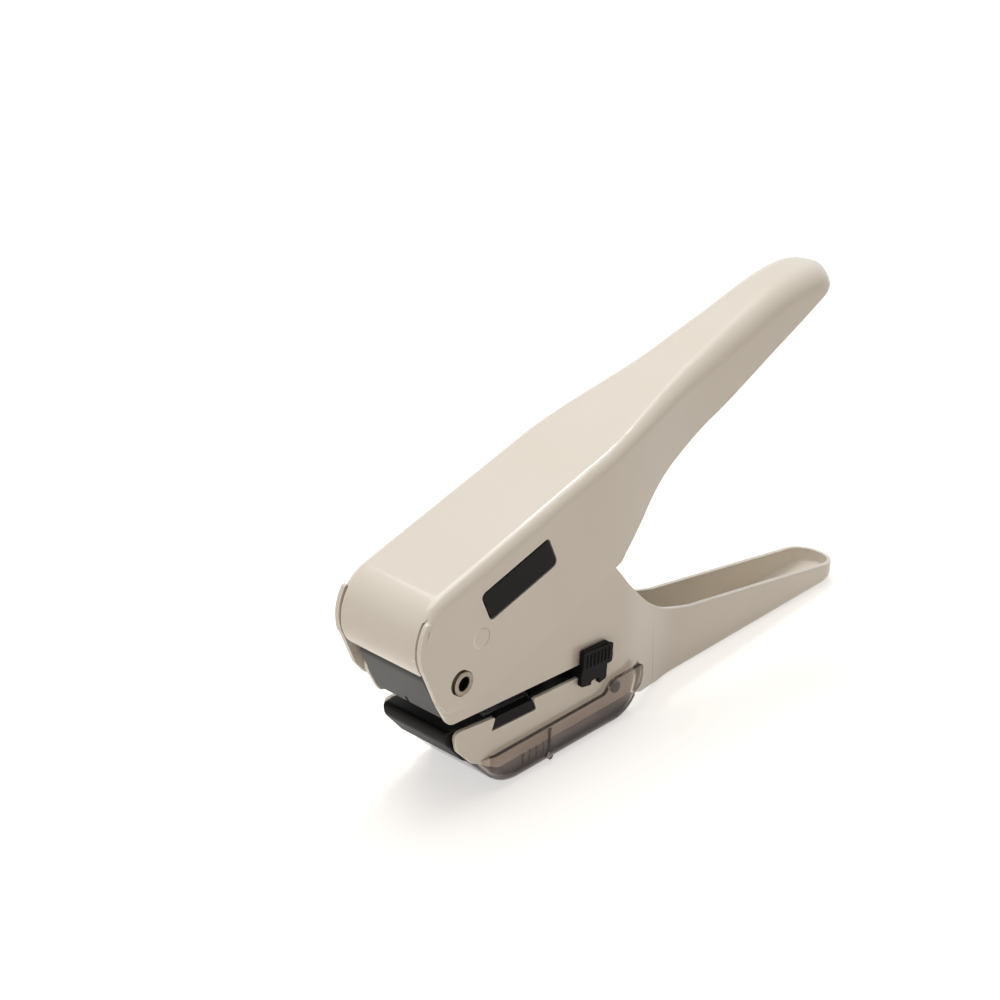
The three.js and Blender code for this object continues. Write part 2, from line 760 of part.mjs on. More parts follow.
function makeFulcrumRivet() {
  const end = leverFrontHalf + rivetProud;
  const profile = [
    [rivetBore, 0],
    [rivetBore, end - rivetChamfer],
    [rivetBore + rivetChamfer, end],
    [rivetRadius - rivetChamfer, end],
    [rivetRadius, end - rivetChamfer],
    [rivetRadius, rivetChamfer - end],
    [rivetRadius - rivetChamfer, -end],
    [rivetBore + rivetChamfer, -end],
    [rivetBore, rivetChamfer - end],
    [rivetBore, 0],
  ];
  return solid(new THREE.LatheGeometry(profile.map(([r, y]) => new THREE.Vector2(r, y)), boreSides));
}

function makeWashers() {
  const inside = cheekHalf + rest / 2;
  return both((side) => {
    const span = between(side, inside, inside + washerThick);
    const hole = between(side, inside - overrun, inside + overrun);
    return cut(bar(0, 0, washerRadius, ...span), bar(0, 0, rivetRadius + slip, ...hole));
  });
}

const makeStopPin = () => bar(stopX, stopRise, stopRadius, -cheekHalf, cheekHalf, pinSides);
const makeLugPin = () => bar(lugPinX, lugPinRise, lugPinRadius, -cheekHalf, cheekHalf, pinSides);
const makeTrayPins = () => both((side) => (
  bar(trayHingeX, -trayHingeDrop, trayPinRadius, ...between(side, cheekInner, trayHalf), pinSides)
));
const makeGuidePins = () => both((side) => (
  post(side * springOffset, 0, guidePin, guidePinFoot, carrierTop - slip)
));

// Return springs: one unbroken tube each, with a closed curl at both ends

const springPoints = [];

function makeSpring(side) {
  const low = springSeat + rest + springWire / 2;
  const high = carrierLow - rest - springWire / 2;
  const steps = springCurls * curlSteps;
  const closed = curlSteps / 2;
  const line = Array.from({ length: steps + 1 }, (_, i) => {
    const angle = (i / curlSteps) * 2 * Math.PI;
    const climb = THREE.MathUtils.clamp((i - closed / 2) / (steps - closed), 0, 1);
    const height = lerp(low, high, climb);
    return new THREE.Vector3(springRadius * Math.cos(angle), springRadius * Math.sin(angle), height);
  });
  springPoints.push(line);
  const position = [];
  const index = [];
  line.forEach((point, i) => {
    const outward = new THREE.Vector3(point.x, point.y, 0).normalize();
    for (let j = 0; j < wireSides; j += 1) {
      const turn = (j / wireSides) * 2 * Math.PI;
      const spot = point.clone().addScaledVector(outward, Math.cos(turn) * springWire / 2);
      position.push(spot.x + side * springOffset, spot.y, spot.z + Math.sin(turn) * springWire / 2);
      if (i === 0) continue;
      const [a, b] = [(i - 1) * wireSides + j, (i - 1) * wireSides + ((j + 1) % wireSides)];
      index.push(a, a + wireSides, b, b, a + wireSides, b + wireSides);
    }
  });
  const last = (line.length - 1) * wireSides;
  for (let j = 1; j + 1 < wireSides; j += 1) {
    index.push(0, j, j + 1);
    index.push(last, last + j + 1, last + j);
  }
  const geometry = new THREE.BufferGeometry();
  geometry.setAttribute('position', new THREE.Float32BufferAttribute(position, 3));
  geometry.setIndex(index);
  return solid(geometry);
}

// The least gap of a spring's wire to itself, between points more than half a curl apart
function leastGap(line) {
  let least = Infinity;
  line.forEach((point, i) => line.slice(i + curlSteps / 2 + 1).forEach((other) => {
    least = Math.min(least, point.distanceTo(other) - springWire);
  }));
  return least;
}

// Punch: the blade hangs by its flange in the carrier, under a crowned cap that the lever presses

function makeBlade() {
  const high = carrierTop - slip;
  const blade = join(
    raised(obround(slotWidth, slotLength), bladeRetract, high - sink),
    raised(obround(slotWidth, slotLength, bladeFlange), high - flangeThick, high),
  );
  const half = slotLength / 2 + overrun;
  const hollow = raised(
    [[-half, bladeRetract - overrun], [half, bladeRetract - overrun], [0, bladeRetract + bladeHollow]],
    -slotWidth,
    slotWidth,
  ).rotateX(Math.PI / 2).rotateZ(Math.PI / 2);
  return cut(blade, hollow);
}

function makeCarrier() {
  const outline = rounded([
    [carrierHalfLong, carrierHalfWide, carrierRound],
    [-carrierHalfLong, carrierHalfWide, carrierRound],
    [-carrierHalfLong, -carrierHalfWide, carrierRound],
    [carrierHalfLong, -carrierHalfWide, carrierRound],
  ]);
  const pinHoles = both((side) => (
    post(side * springOffset, 0, guidePin + 2 * slip, carrierLow - overrun, carrierTop + overrun)
  ));
  const flange = carrierTop - slip - flangeThick - slip;
  return cut(
    raised(outline, carrierLow, carrierTop),
    raised(obround(slotWidth, slotLength, slip), carrierLow - overrun, carrierTop + overrun),
    raised(obround(slotWidth, slotLength, bladeFlange + slip), flange, carrierTop + overrun),
    ...pinHoles,
  );
}

function makeCap() {
  const spread = THREE.MathUtils.radToDeg(Math.asin(capHalfLong / crownRadius));
  const crown = arc(0, capTop - crownRadius, crownRadius, 90 - spread, 90 + spread);
  return plate([[-capHalfLong, capLow], [capHalfLong, capLow], ...crown], -carrierHalfWide, carrierHalfWide);
}

// Lever: one channel of sheet steel, its head over the cheeks, its nose strip bent down in front

const leverHalf = (s) => {
  const head = lerp(leverFrontHalf, leverRearHalf, THREE.MathUtils.clamp(s / leverHeadEnd, 0, 1));
  return lerp(head, leverGripHalf, eased(s, leverHeadEnd, leverWaistEnd));
};

function leverStations(inset) {
  const endCentre = leverReach - leverGripHalf;
  const station = (s, half, flat) => {
    const toEnd = eased(s, leverHeadEnd, leverDomeFront + leverBend);
    const bend = Math.min(lerp(leverBend, leverEndBend, toEnd) - inset, half * bendShare);
    return { x: s, half, flat: flat - inset, bend, open: -leverTop - inset };
  };
  const noseN = leverTop - noseRadius;
  const nose = arc(noseCentre, noseN, noseRadius - inset, 180, 90);
  const dome = (s) => leverTop - leverDomeDrop * roundOff(s, leverDomeFront, leverReach);
  const waist = Array.from({ length: waistSteps + 1 }, (_, i) => (
    lerp(leverHeadEnd, leverWaistEnd, i / waistSteps)
  ));
  const grip = Array.from({ length: domeSteps + 1 }, (_, i) => (
    lerp(leverDomeFront, endCentre, i / domeSteps)
  ));
  const middle = (leverWaistEnd + leverDomeFront) / 2;
  const end = arc(endCentre, 0, leverGripHalf - inset, 90, endTurn).slice(1);
  return [
    ...nose.map(([s, n]) => station(s, leverHalf(s) - inset, n + inset)),
    ...[...waist, middle, ...grip].map((s) => station(s, leverHalf(s) - inset, dome(s))),
    ...end.map(([s, half]) => station(s, half, dome(s))),
  ];
}

function leverOutline() {
  const under = smoothLine(undersideShares, leverReach, leverTop, undersideSteps);
  const noseN = leverTop - noseRadius;
  const ear = earShares.map((corner) => corner.map((share) => share * earRadius));
  const above = leverTop + overrun;
  return [
    ...arc(noseCentre, noseN, noseRadius, 180, earStart),
    ...rounded([
      [noseCentre - noseRadius, noseN],
      ...ear,
      [earEdgeEnd, -earEdgeDrop, leverBend],
      under[0],
    ]).slice(1, -1),
    ...under,
    [under.at(-1)[0], above],
    [noseCentre - noseRadius - overrun, above],
    [noseCentre - noseRadius - overrun, noseN],
  ];
}

function windowOutline(inset) {
  const round = windowRound - inset / 2;
  return rounded([
    [windowFront + windowLean + inset, windowLow + inset, round],
    [windowRear + windowLean - inset, windowLow + inset, round],
    [windowRear - inset, windowHigh - inset, round],
    [windowFront + inset, windowHigh - inset, round],
  ]);
}

function makeLever() {
  const wide = [-leverFrontHalf - overrun, leverFrontHalf + overrun];
  const inner = leverFrontHalf - sheet;
  const stripHalf = inner - slit;
  const noseN = leverTop - noseRadius;
  const front = noseCentre - noseRadius;
  const shell = cut(core(leverStations(0)), core(leverStations(sheet)));
  const pressed = common(shell, plate(leverOutline(), ...wide));
  const stripEnd = 180 + THREE.MathUtils.radToDeg(Math.asin((noseN - stripBottom) / noseRadius));
  const strip = plate([
    ...arc(noseCentre, noseN, noseRadius, stripStart, stripEnd),
    ...arc(noseCentre, noseN, noseRadius - sheet, stripEnd, stripStart),
  ], -stripHalf, stripHalf);
  const mouth = box([front - overrun, -inner, -leverTop], [noseCentre - noseRadius / 3, inner, slitTop]);
  const half = leverHalf(dimpleS);
  const dimples = both((side) => (
    bar(dimpleS, dimpleN, dimpleRadius, ...between(side, half - sheet / 2, half + dimpleProud), bossSides)
  ));
  const hollows = both((side) => {
    const span = between(side, half - sheet - overrun, half - sheet + dimpleProud);
    return bar(dimpleS, dimpleN, dimpleRadius - dimpleProud / 2, ...span, bossSides);
  });
  const shift = arc(0, 0, slotShift, slotAngle - leverTilt, slotAngle - leverTilt)[0];
  return cut(
    join(cut(pressed, mouth), strip, ...dimples),
    bar(0, 0, rivetRadius + slip, ...wide),
    bar(...shift, rivetRadius + slip, ...wide),
    plate(windowOutline(0), ...wide),
    ...hollows,
  );
}

// Pressure block: fills the lever's windows, presses the punch and hooks under the stop pin

function makePressureBlock() {
  const half = leverHalf(blockBack) - sheet - blockPlay;
  const low = windowLow - blockSkirt;
  const high = windowHigh + blockSkirt;
  const [pinS, pinN] = leverFromWorld(stopX, stopRise);
  const tipHigh = pinN - stopRadius - rest;
  const back = pinS + hookBack;
  const slab = plate(rounded([
    [blockFront, low, blockSkirt],
    [blockBack, low, blockSkirt],
    [blockBack, high, blockSkirt],
    [blockFront, high, blockSkirt],
  ]), -half, half);
  const boss = common(
    inWear(box([-bossHalfLong, -wearHalfWide, wearThick + rest], [bossHalfLong, wearHalfWide, bossHeight])),
    box([0, -wearHalfWide, 0], [blockBack, wearHalfWide, low + sink]),
  );
  const hook = plate([
    [blockBack - sink, high - beamDepth],
    [pinS + stopRadius + hookPlay, high - beamDepth],
    [pinS + stopRadius + hookPlay, tipHigh],
    [pinS - hookFront, tipHigh],
    [pinS - hookFront, tipHigh - hookThick],
    [back, tipHigh - hookThick],
    [back, high],
    [blockBack - sink, high],
  ], -beamHalf, beamHalf);
  const lugs = both((side) => {
    const span = between(side, half - sink, leverHalf(windowRear) - rest);
    return plate(windowOutline(rest), ...span);
  });
  const seatLong = wearHalfLong + rest;
  const seatWide = wearHalfWide + rest;
  const seat = inWear(box([-seatLong, -seatWide, -overrun], [seatLong, seatWide, wearThick + rest]));
  const rivetHoles = both((side) => inWear(
    post(0, side * wearRivetY, wearRivet + slip, 0, wearRivetLength + rest),
  ));
  const pinTip = new THREE.Vector3(-springOffset, 0, carrierTop).applyMatrix4(throatAxes);
  const [openS] = leverFromWorld(pinTip.x, pinTip.z);
  const [, closedN] = leverFromWorld(pinTip.x, pinTip.z, leverTilt - leverTravel);
  const pinRoom = guidePin + rest;
  const groove = box(
    [blockFront - overrun, -pinRoom, low - overrun],
    [openS + pinRoom, pinRoom, closedN + rest],
  );
  return cut(join(slab, boss, hook, ...lugs), seat, groove, ...rivetHoles);
}

function makeWearPlate() {
  const holes = both((side) => post(0, side * wearRivetY, wearRivet + slip, -overrun, wearThick + overrun));
  return cut(box([-wearHalfLong, -wearHalfWide, 0], [wearHalfLong, wearHalfWide, wearThick]), ...holes);
}

const makeWearRivets = () => both((side) => (
  post(0, side * wearRivetY, wearRivet, slip, wearRivetLength)
));

// Depth slider: a web through the throat with a ribbed grip outside each cheek

function makeSlider() {
  const inside = cheekHalf + rest;
  const outside = inside + gripThick;
  const rear = sliderFront + sliderLength;
  const middle = (sliderFront + rear) / 2;
  const web = box([sliderFront, -outside, rest - throatGap], [rear - sheet, outside, -rest]);
  const grip = [
    ...rounded([
      [sliderFront, padRise, sheet / 2],
      [sliderFront, -gripDrop + sheet / 2, sheet / 2],
      [middle - archHalf, -gripDrop, sheet / 4],
      [middle - archHalf, -gripDrop + archRise, sheet / 4],
      [middle + archHalf, -gripDrop + archRise, sheet / 4],
      [middle + archHalf, -gripDrop - sheet / 2, sheet / 4],
      [rear - sheet, -gripDrop, sheet / 2],
      [rear - sheet, padRise, sheet / 2],
    ]),
  ];
  const grips = both((side) => plate(grip, ...between(side, inside, outside)));
  const pad = rounded([
    [sliderFront - sheet / 4, padRise, sheet / 2],
    [sliderFront - sheet / 4, -padDrop, sheet / 2],
    [rear, -padDrop - sheet / 2, sheet / 2],
    [rear, padRise - sheet / 2, sheet / 2],
  ]);
  const pads = both((side) => plate(pad, ...between(side, outside - sink, outside + padProud)));
  const pitch = sliderLength / (padRibs + 1);
  const ribs = both((side) => Array.from({ length: padRibs }, (_, i) => post(
    sliderFront + pitch * (i + 1),
    side * (outside + padProud),
    padRib,
    sheet / 2 - padDrop,
    padRise - sheet,
    ribSides,
  ))).flat();
  const pocket = box(
    [middle - leafHalf - rest, -leafHalf, -rest - leafPocket],
    [middle + leafHalf + rest, leafHalf, overrun],
  );
  return cut(join(web, ...grips, ...pads, ...ribs), pocket);
}

// A bowed leaf in the web that bears on the throat's roof and keeps the slider where it is put
function makeLeaf() {
  const middle = sliderFront + sliderLength / 2;
  const base = -rest - leafPocket + slip;
  const rise = leafPocket - leafThick + leafBow - slip;
  const upper = new THREE.QuadraticBezierCurve(
    new THREE.Vector2(middle - leafHalf, base + leafThick),
    new THREE.Vector2(middle, base + leafThick + 2 * rise - leafBow),
    new THREE.Vector2(middle + leafHalf, base + leafThick),
  ).getPoints(leafSteps).map((point) => [point.x, point.y]);
  const lower = upper.map(([u, w]) => [u, w - leafThick]).reverse();
  return plate([...upper, ...lower], -leafHalf + rest, leafHalf - rest);
}

// Chip tray: a clear box that hangs from two pins and curls round them at its rear

function trayOutline() {
  const rear = trayHingeX + trayHeel + overrun;
  const earTop = trayEarRise - trayHingeDrop;
  return rounded([
    [trayFront, -trayRim, trayWall / 2],
    [trayFront, -trayNoseDrop, trayWall / 2],
    [trayFloorFront, table, trayNoseRound],
    [rear, table],
    [rear, earTop],
    [trayHingeX - trayEarLead, earTop, trayEarRound],
    [trayHingeX - trayEarFront, -trayRim, trayEarRound],
  ]);
}

function trayHollow() {
  const rear = trayHingeX + trayHeel + overrun;
  const above = trayEarRise - trayHingeDrop + overrun;
  const ledge = -dieBottom - rest;
  const slant = (trayFloorFront - trayFront) / (fulcrumHeight - trayNoseDrop);
  const inward = trayWall * Math.hypot(1, slant);
  const wallAt = (drop) => trayFront + (drop - trayNoseDrop) * slant + inward;
  return rounded([
    [trayFront - overrun, above],
    [trayFront - overrun, ledge],
    [wallAt(-ledge), ledge],
    [wallAt(fulcrumHeight - trayWall), table + trayWall, trayNoseRound],
    [trayHingeX, table + trayWall],
    [trayHingeX, table - overrun],
    [rear, table - overrun],
    [rear, above],
  ]);
}

// The round heel of the tray: a drum about the hinge with the tray's bend along both edges
function trayDrum(inset) {
  const half = trayHalf - inset;
  const radius = trayHeel - inset;
  const bend = trayBend - inset;
  const edge = quarter(bend).map(([out, up]) => [radius - bend + up, half - bend + out]);
  const profile = [[0, half], ...edge, ...edge.map(([r, y]) => [r, -y]).reverse(), [0, -half]];
  const points = profile.map(([r, y]) => new THREE.Vector2(r, y));
  return solid(new THREE.LatheGeometry(points, heelSides).translate(trayHingeX, 0, -trayHingeDrop));
}

function makeTray() {
  const front = trayFront - overrun;
  const station = (x, inset) => ({
    x,
    half: trayHalf - inset,
    flat: table + inset,
    bend: trayBend - inset,
    open: overrun,
  });
  const shapeOf = (inset) => join(
    core([station(front - inset, inset), station(trayHingeX, inset)]),
    trayDrum(inset),
  );
  const wide = [-trayHalf - overrun, trayHalf + overrun];
  const outside = common(shapeOf(0), plate(trayOutline(), ...wide));
  const inside = common(shapeOf(trayWall), plate(trayHollow(), ...wide));
  const ribs = both((side) => Array.from({ length: ribCount }, (_, i) => post(
    barX - ribPitch * (i + 1),
    side * trayHalf,
    ribRadius,
    table + ribLow,
    table + ribHigh,
    ribSides,
  ))).flat();
  const footZ = table + footHigh;
  const bars = both((side) => (
    post(barX, side * trayHalf, barRadius, footZ, -trayRim - barDrop, barSides)
  ));
  const feet = both((side) => (
    bar(barX, footZ, footRadius, ...between(side, trayHalf - footLength, trayHalf + barRadius), footSides)
  ));
  const pinHole = bar(trayHingeX, -trayHingeDrop, trayPinRadius + slip, ...wide);
  const gapHalf = trayHalf - trayWall;
  const behind = 180 - trayOpening;
  const rearGap = plate([
    ...arc(trayHingeX, -trayHingeDrop, trayHeel - trayBend - sink, -trayCurl, behind),
    ...arc(trayHingeX, -trayHingeDrop, trayHeel + overrun, behind, -trayCurl),
  ], -gapHalf, gapHalf);
  return cut(join(cut(outside, inside), ...ribs, ...bars, ...feet), rearGap, pinHole);
}

// The punch, put together

const throatGroup = new THREE.Group();
throatGroup.applyMatrix4(throatAxes);
throatGroup.add(
  node('punch_guide', makePunchGuide(), steel),
  ...nodes('guide_screw', makeGuideScrews(), steel),
  node('die_plate', makeDiePlate(), steel),
  ...nodes('die_screw', makeDieScrews(), steel),
  ...nodes('carrier_guide_pin', makeGuidePins(), steel),
  node('return_spring_front', makeSpring(-1), steel),
  node('return_spring_rear', makeSpring(1), steel),
  node('punch_blade', makeBlade(), steel),
  node('punch_carrier', makeCarrier(), steel),
  node('punch_cap', makeCap(), steel),
  node('depth_slider', makeSlider(), plastic),
  node('slider_leaf', makeLeaf(), steel),
);

const wearGroup = new THREE.Group();
wearGroup.applyMatrix4(wearAxes);
wearGroup.add(
  node('wear_plate', makeWearPlate(), steel),
  ...nodes('wear_plate_rivet', makeWearRivets(), steel),
);

const leverGroup = new THREE.Group();
leverGroup.rotation.y = -rad(leverTilt);
leverGroup.add(
  node('lever', makeLever(), paint),
  node('pressure_block', makePressureBlock(), plastic),
  wearGroup,
);

const cardPunch = new THREE.Group();
cardPunch.add(
  node('frame', makeFrame(), paint),
  node('head_block', makeHeadBlock(), greyPlastic),
  node('die_block', makeDieBlock(), plastic),
  node('fulcrum_rivet', makeFulcrumRivet(), nickel),
  ...nodes('fulcrum_washer', makeWashers(), plastic),
  node('stop_pin', makeStopPin(), steel),
  node('block_pin', makeLugPin(), steel),
  ...nodes('tray_hinge_pin', makeTrayPins(), plastic),
  node('chip_tray', makeTray(), smoke),
  throatGroup,
  leverGroup,
);

console.log('least gap of a spring to itself', leastGap(springPoints[0]).toFixed(2), 'mm');
console.log('lever travel', leverTravel.toFixed(2), 'degrees, punch stroke', stroke.toFixed(2), 'mm');

const noseX = noseCentre * Math.cos(rad(leverTilt)) - (leverTop - noseRadius) * Math.sin(rad(leverTilt));
const noseFront = noseRadius - noseX;
cardPunch.position.set(-(frameReach - noseFront) / 2, 0, fulcrumHeight);

export default cardPunch;
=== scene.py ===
"""Card hole punch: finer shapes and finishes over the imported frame, in a plain pale studio.

Shapes are drawn in millimetres about the fulcrum, the axis of the hollow rivet, and are put in the
frame's metres when they are finished.
"""

from __future__ import annotations

import logging
import math
from collections.abc import Callable, Iterable, Sequence
from dataclasses import dataclass
from enum import Enum
from functools import cache

import bmesh
import bpy
from mathutils import Matrix, Vector


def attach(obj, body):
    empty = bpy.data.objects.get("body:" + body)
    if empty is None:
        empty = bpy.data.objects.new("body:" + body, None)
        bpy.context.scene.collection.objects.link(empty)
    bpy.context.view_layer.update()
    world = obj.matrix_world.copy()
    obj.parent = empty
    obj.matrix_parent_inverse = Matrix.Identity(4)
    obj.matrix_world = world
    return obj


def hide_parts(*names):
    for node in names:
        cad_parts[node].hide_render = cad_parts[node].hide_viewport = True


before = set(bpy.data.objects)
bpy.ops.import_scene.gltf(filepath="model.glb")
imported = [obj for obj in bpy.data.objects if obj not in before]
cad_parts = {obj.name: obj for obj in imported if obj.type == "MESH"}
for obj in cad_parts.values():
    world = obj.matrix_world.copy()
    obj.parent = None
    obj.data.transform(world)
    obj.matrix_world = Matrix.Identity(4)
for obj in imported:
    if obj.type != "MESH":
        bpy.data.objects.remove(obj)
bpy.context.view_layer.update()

LOG = logging.getLogger("card_punch")

Place = tuple[float, float]
Spot = tuple[float, float, float]
Tone = Spot
Ring = list[Spot]
Piece = bpy.types.Object


# Sizes that several pieces share


@dataclass(frozen=True)
class Plan:
    """Sizes in millimetres that several pieces share, about the fulcrum."""

    metre: float = 0.001
    lift: float = 36.6
    back: float = -71.4466
    sheet: float = 1.2
    rest: float = 0.3
    slip: float = 0.1
    overrun: float = 3.0
    cheek_half: float = 12.0
    block_half: float = 10.5
    lever_front_half: float = 14.0
    lever_rear_half: float = 13.6
    frame_grip_half: float = 7.0
    lever_grip_half: float = 8.3
    roof_drop: float = 11.55
    throat_tilt: float = 3.4
    throat_gap: float = 3.6
    punch_arm: float = 20.0
    lever_tilt: float = 15.1
    rivet_radius: float = 3.1
    rivet_bore: float = 1.8
    slot_length: float = 15.0
    slot_width: float = 4.0
    hinge_x: float = 56.4
    hinge_drop: float = 25.7
    hinge_pin: float = 1.5
    hinge_skin: float = 0.5
    tray_half: float = 13.4
    tray_heel: float = 10.9
    tray_bend: float = 3.0
    spring_offset: float = 9.6
    guide_pin: float = 1.2
    guide_pin_foot: float = 2.4
    stop_x: float = 43.0
    stop_rise: float = 9.7
    stop_radius: float = 1.5
    lug_x: float = 37.3
    lug_rise: float = 6.5
    lug_radius: float = 1.0
    plate_half_long: float = 8.2
    plate_half_wide: float = 9.4
    guide_thick: float = 1.6
    die_thick: float = 2.0
    screw_u: float = 6.0
    screw_y: float = 7.4
    screw_radius: float = 1.0
    screw_head: float = 1.8
    screw_sink: float = 1.0
    screw_length: float = 4.6
    deck: float = 15.3
    stroke: float = 4.9
    carrier_low: float = 20.8
    carrier_thick: float = 2.6
    carrier_half_wide: float = 9.0
    cap_thick: float = 1.4
    cap_crown: float = 0.5
    cap_half_long: float = 4.4
    wear_thick: float = 1.6
    wear_half_long: float = 5.0
    wear_half_wide: float = 8.0
    wear_rivet: float = 0.8
    wear_rivet_y: float = 5.0
    wear_rivet_length: float = 4.4

    @property
    def table(self) -> float:
        """Height of the table under the fulcrum."""
        return -self.lift

    @property
    def cheek_inner(self) -> float:
        """Half the room between the cheeks."""
        return self.cheek_half - self.sheet

    @property
    def carrier_top(self) -> float:
        """Top of the punch carrier above the throat's roof."""
        return self.carrier_low + self.carrier_thick

    @property
    def cap_top(self) -> float:
        """Top of the punch's cap above the throat's roof."""
        return self.carrier_top + self.rest + self.cap_thick

    @property
    def crown_radius(self) -> float:
        """Radius of the cap's crown."""
        return (self.cap_half_long**2 + self.cap_crown**2) / (2 * self.cap_crown)

    def roof(self, x: float) -> float:
        """Height of the throat's roof at x."""
        return -self.roof_drop - math.tan(math.radians(self.throat_tilt)) * x

    def floor(self, x: float) -> float:
        """Height of the throat's floor at x."""
        return self.roof(x) - self.throat_gap

    @property
    def row(self) -> Matrix:
        """Takes millimetres about the fulcrum to the frame's metres."""
        scale = Matrix.Scale(self.metre, 4)
        return scale @ Matrix.Translation((self.back, 0, self.lift))

    @property
    def throat(self) -> Matrix:
        """Takes places along and square to the throat's roof, at the punch, to places about the fulcrum."""
        turn = Matrix.Rotation(math.radians(self.throat_tilt), 4, "Y")
        return Matrix.Translation((self.punch_arm, 0, self.roof(self.punch_arm))) @ turn

    @property
    def lever(self) -> Matrix:
        """Takes places along and square to the lever's top to places about the fulcrum."""
        return Matrix.Rotation(-math.radians(self.lever_tilt), 4, "Y")

    @property
    def crown(self) -> Vector:
        """Centre of the crown's round about the fulcrum."""
        return self.throat @ Vector((0, 0, self.cap_top - self.crown_radius))

    @property
    def travel(self) -> float:
        """Degrees that the lever turns while the punch makes its stroke."""
        down = self.stroke * math.cos(math.radians(self.throat_tilt))
        return math.degrees(2 * math.asin(down / 2 / self.crown.x))

    @property
    def wear(self) -> Matrix:
        """Takes places along and square to the wear plate to places in the lever's axes."""
        tilt = math.radians(self.travel / 2)
        out = Vector((-math.sin(tilt), 0, math.cos(tilt))) * (self.crown_radius + self.rest)
        spot = self.lever.inverted() @ (self.crown + out)
        return Matrix.Translation(spot) @ Matrix.Rotation(math.radians(self.lever_tilt) - tilt, 4, "Y")


PLAN = Plan()


class Body(Enum):
    """The moving bodies of the punch."""

    FRAME = "frame"
    LEVER = "lever"
    PUNCH = "punch"
    SLIDER = "slider"
    TRAY = "tray"


class Slot(Enum):
    """The record's finishes."""

    PAINT = "ivory_paint"
    BLACK = "black_plastic"
    GREY = "grey_plastic"
    SMOKE = "smoke_plastic"
    WASHER = "washer_plastic"
    STEEL = "tool_steel"
    SPRING = "spring_steel"
    NICKEL = "nickel_plate"


# Drawing

CLOSE = 0.001  # Points nearer than this are one, in millimetres
FLAT_TURN = 0.2  # Faces that turn less than this many degrees are one
SHARP_TURN = 40.0  # Edges that turn more than this many degrees are eased
SMOOTH_TURN = 35.0  # Edges that turn less than this many degrees are shaded smooth
MOST_BEND = 0.95  # A channel's bends take up no more than this share of its half width
LAST_ANGLE = 4.0  # The rounds that close the handles' ends stop short by this many degrees


def lerp(a: float, b: float, share: float) -> float:
    """The value a share of the way from a to b."""
    return a + (b - a) * share


def spread(start: float, end: float, steps: int) -> list[float]:
    """Even steps from start to end, both with them."""
    return [lerp(start, end, i / steps) for i in range(steps + 1)]


def turns(count: int) -> list[float]:
    """So many angles all the way round, in radians."""
    return [i / count * 2 * math.pi for i in range(count)]


def passed(value: float, start: float, end: float) -> float:
    """How far a value has passed from start to end, from 0 to 1."""
    return min(max((value - start) / (end - start), 0.0), 1.0)


def eased(value: float, start: float, end: float) -> float:
    """How far a value has passed from start to end, eased at both."""
    share = passed(value, start, end)
    return share * share * (3 - 2 * share)


def round_off(value: float, start: float, end: float) -> float:
    """How far a quarter ellipse has fallen at a place between its start and its end."""
    return 1 - math.sqrt(1 - passed(value, start, end) ** 2)


def arc(x: float, z: float, radius: float, start: float, end: float, step: float = 5.0) -> list[Place]:
    """Points of an arc.

    Args:
        x: Its centre.
        z: Its centre.
        radius: Its radius.
        start: First angle in degrees.
        end: Last angle in degrees.
        step: About how many degrees lie between two points.

    Returns:
        The points, both ends with them.
    """
    count = max(1, math.ceil(abs(end - start) / step))
    angles = [math.radians(angle) for angle in spread(start, end, count)]
    return [(x + radius * math.cos(a), z + radius * math.sin(a)) for a in angles]


def rounded(corners: Sequence[Sequence[float]], step: float = 11.0) -> list[Place]:
    """A closed outline with eased corners.

    Args:
        corners: Each corner as x, z and, where it is eased, its radius.
        step: About how many degrees a corner turns between two points.

    Returns:
        The points of the outline.
    """
    points: list[Place] = []
    for i, corner in enumerate(corners):
        here = Vector(corner[:2])
        radius = corner[2] if len(corner) > 2 else 0.0
        if radius == 0:
            points.append(tuple(here))
            continue
        back = Vector(corners[i - 1][:2]) - here
        ahead = Vector(corners[(i + 1) % len(corners)][:2]) - here
        opening = back.angle(ahead)
        reach = min(radius / math.tan(opening / 2), back.length / 2, ahead.length / 2)
        start, end = here + back.normalized() * reach, here + ahead.normalized() * reach
        count = max(3, math.ceil((180 - math.degrees(opening)) / step))
        for k in range(count + 1):
            t = k / count
            bend = start * (1 - t) ** 2 + here * 2 * t * (1 - t) + end * t**2
            points.append(tuple(bend))
    return points


def smooth_line(shares: Sequence[Place], length: float, height: float, count: int) -> list[Place]:
    """A smooth line through places.

    Args:
        shares: The places, as shares of a length and of a height.
        length: What the first shares are of.
        height: What the second shares are of.
        count: How many steps the line has.

    Returns:
        The line's points.
    """
    spots = [Vector((a * length, b * height)) for a, b in shares]
    points: list[Place] = []
    for k in range(count + 1):
        at = (len(spots) - 1) * k / count
        i = min(int(at), len(spots) - 2)
        t = at - i
        p0, p1, p2, p3 = (spots[min(max(j, 0), len(spots) - 1)] for j in (i - 1, i, i + 1, i + 2))
        v0, v1 = (p2 - p0) / 2, (p3 - p1) / 2
        spot = (2 * p1 - 2 * p2 + v0 + v1) * t**3 + (3 * p2 - 3 * p1 - 2 * v0 - v1) * t**2 + v0 * t + p1
        points.append(tuple(spot))
    return points


def obround(width: float, length: float, spare: float = 0.0) -> list[Place]:
    """The outline of a slot with round ends, its length along the second axis."""
    radius, run = width / 2 + spare, (length - width) / 2
    return arc(0, run, radius, 0, 180, step=10) + arc(0, -run, radius, 180, 360, step=10)


def oblong(long: float, wide: float, radius: float) -> list[Place]:
    """The outline of a plate with eased corners, from half its length and half its width."""
    return rounded([(u * long, v * wide, radius) for u, v in ((1, 1), (-1, 1), (-1, -1), (1, -1))])


def quarter(radius: float, steps: int = 7) -> list[Place]:
    """A quarter round about its centre."""
    return [(radius * math.cos(a), radius * math.sin(a)) for a in spread(0, math.pi / 2, steps)]


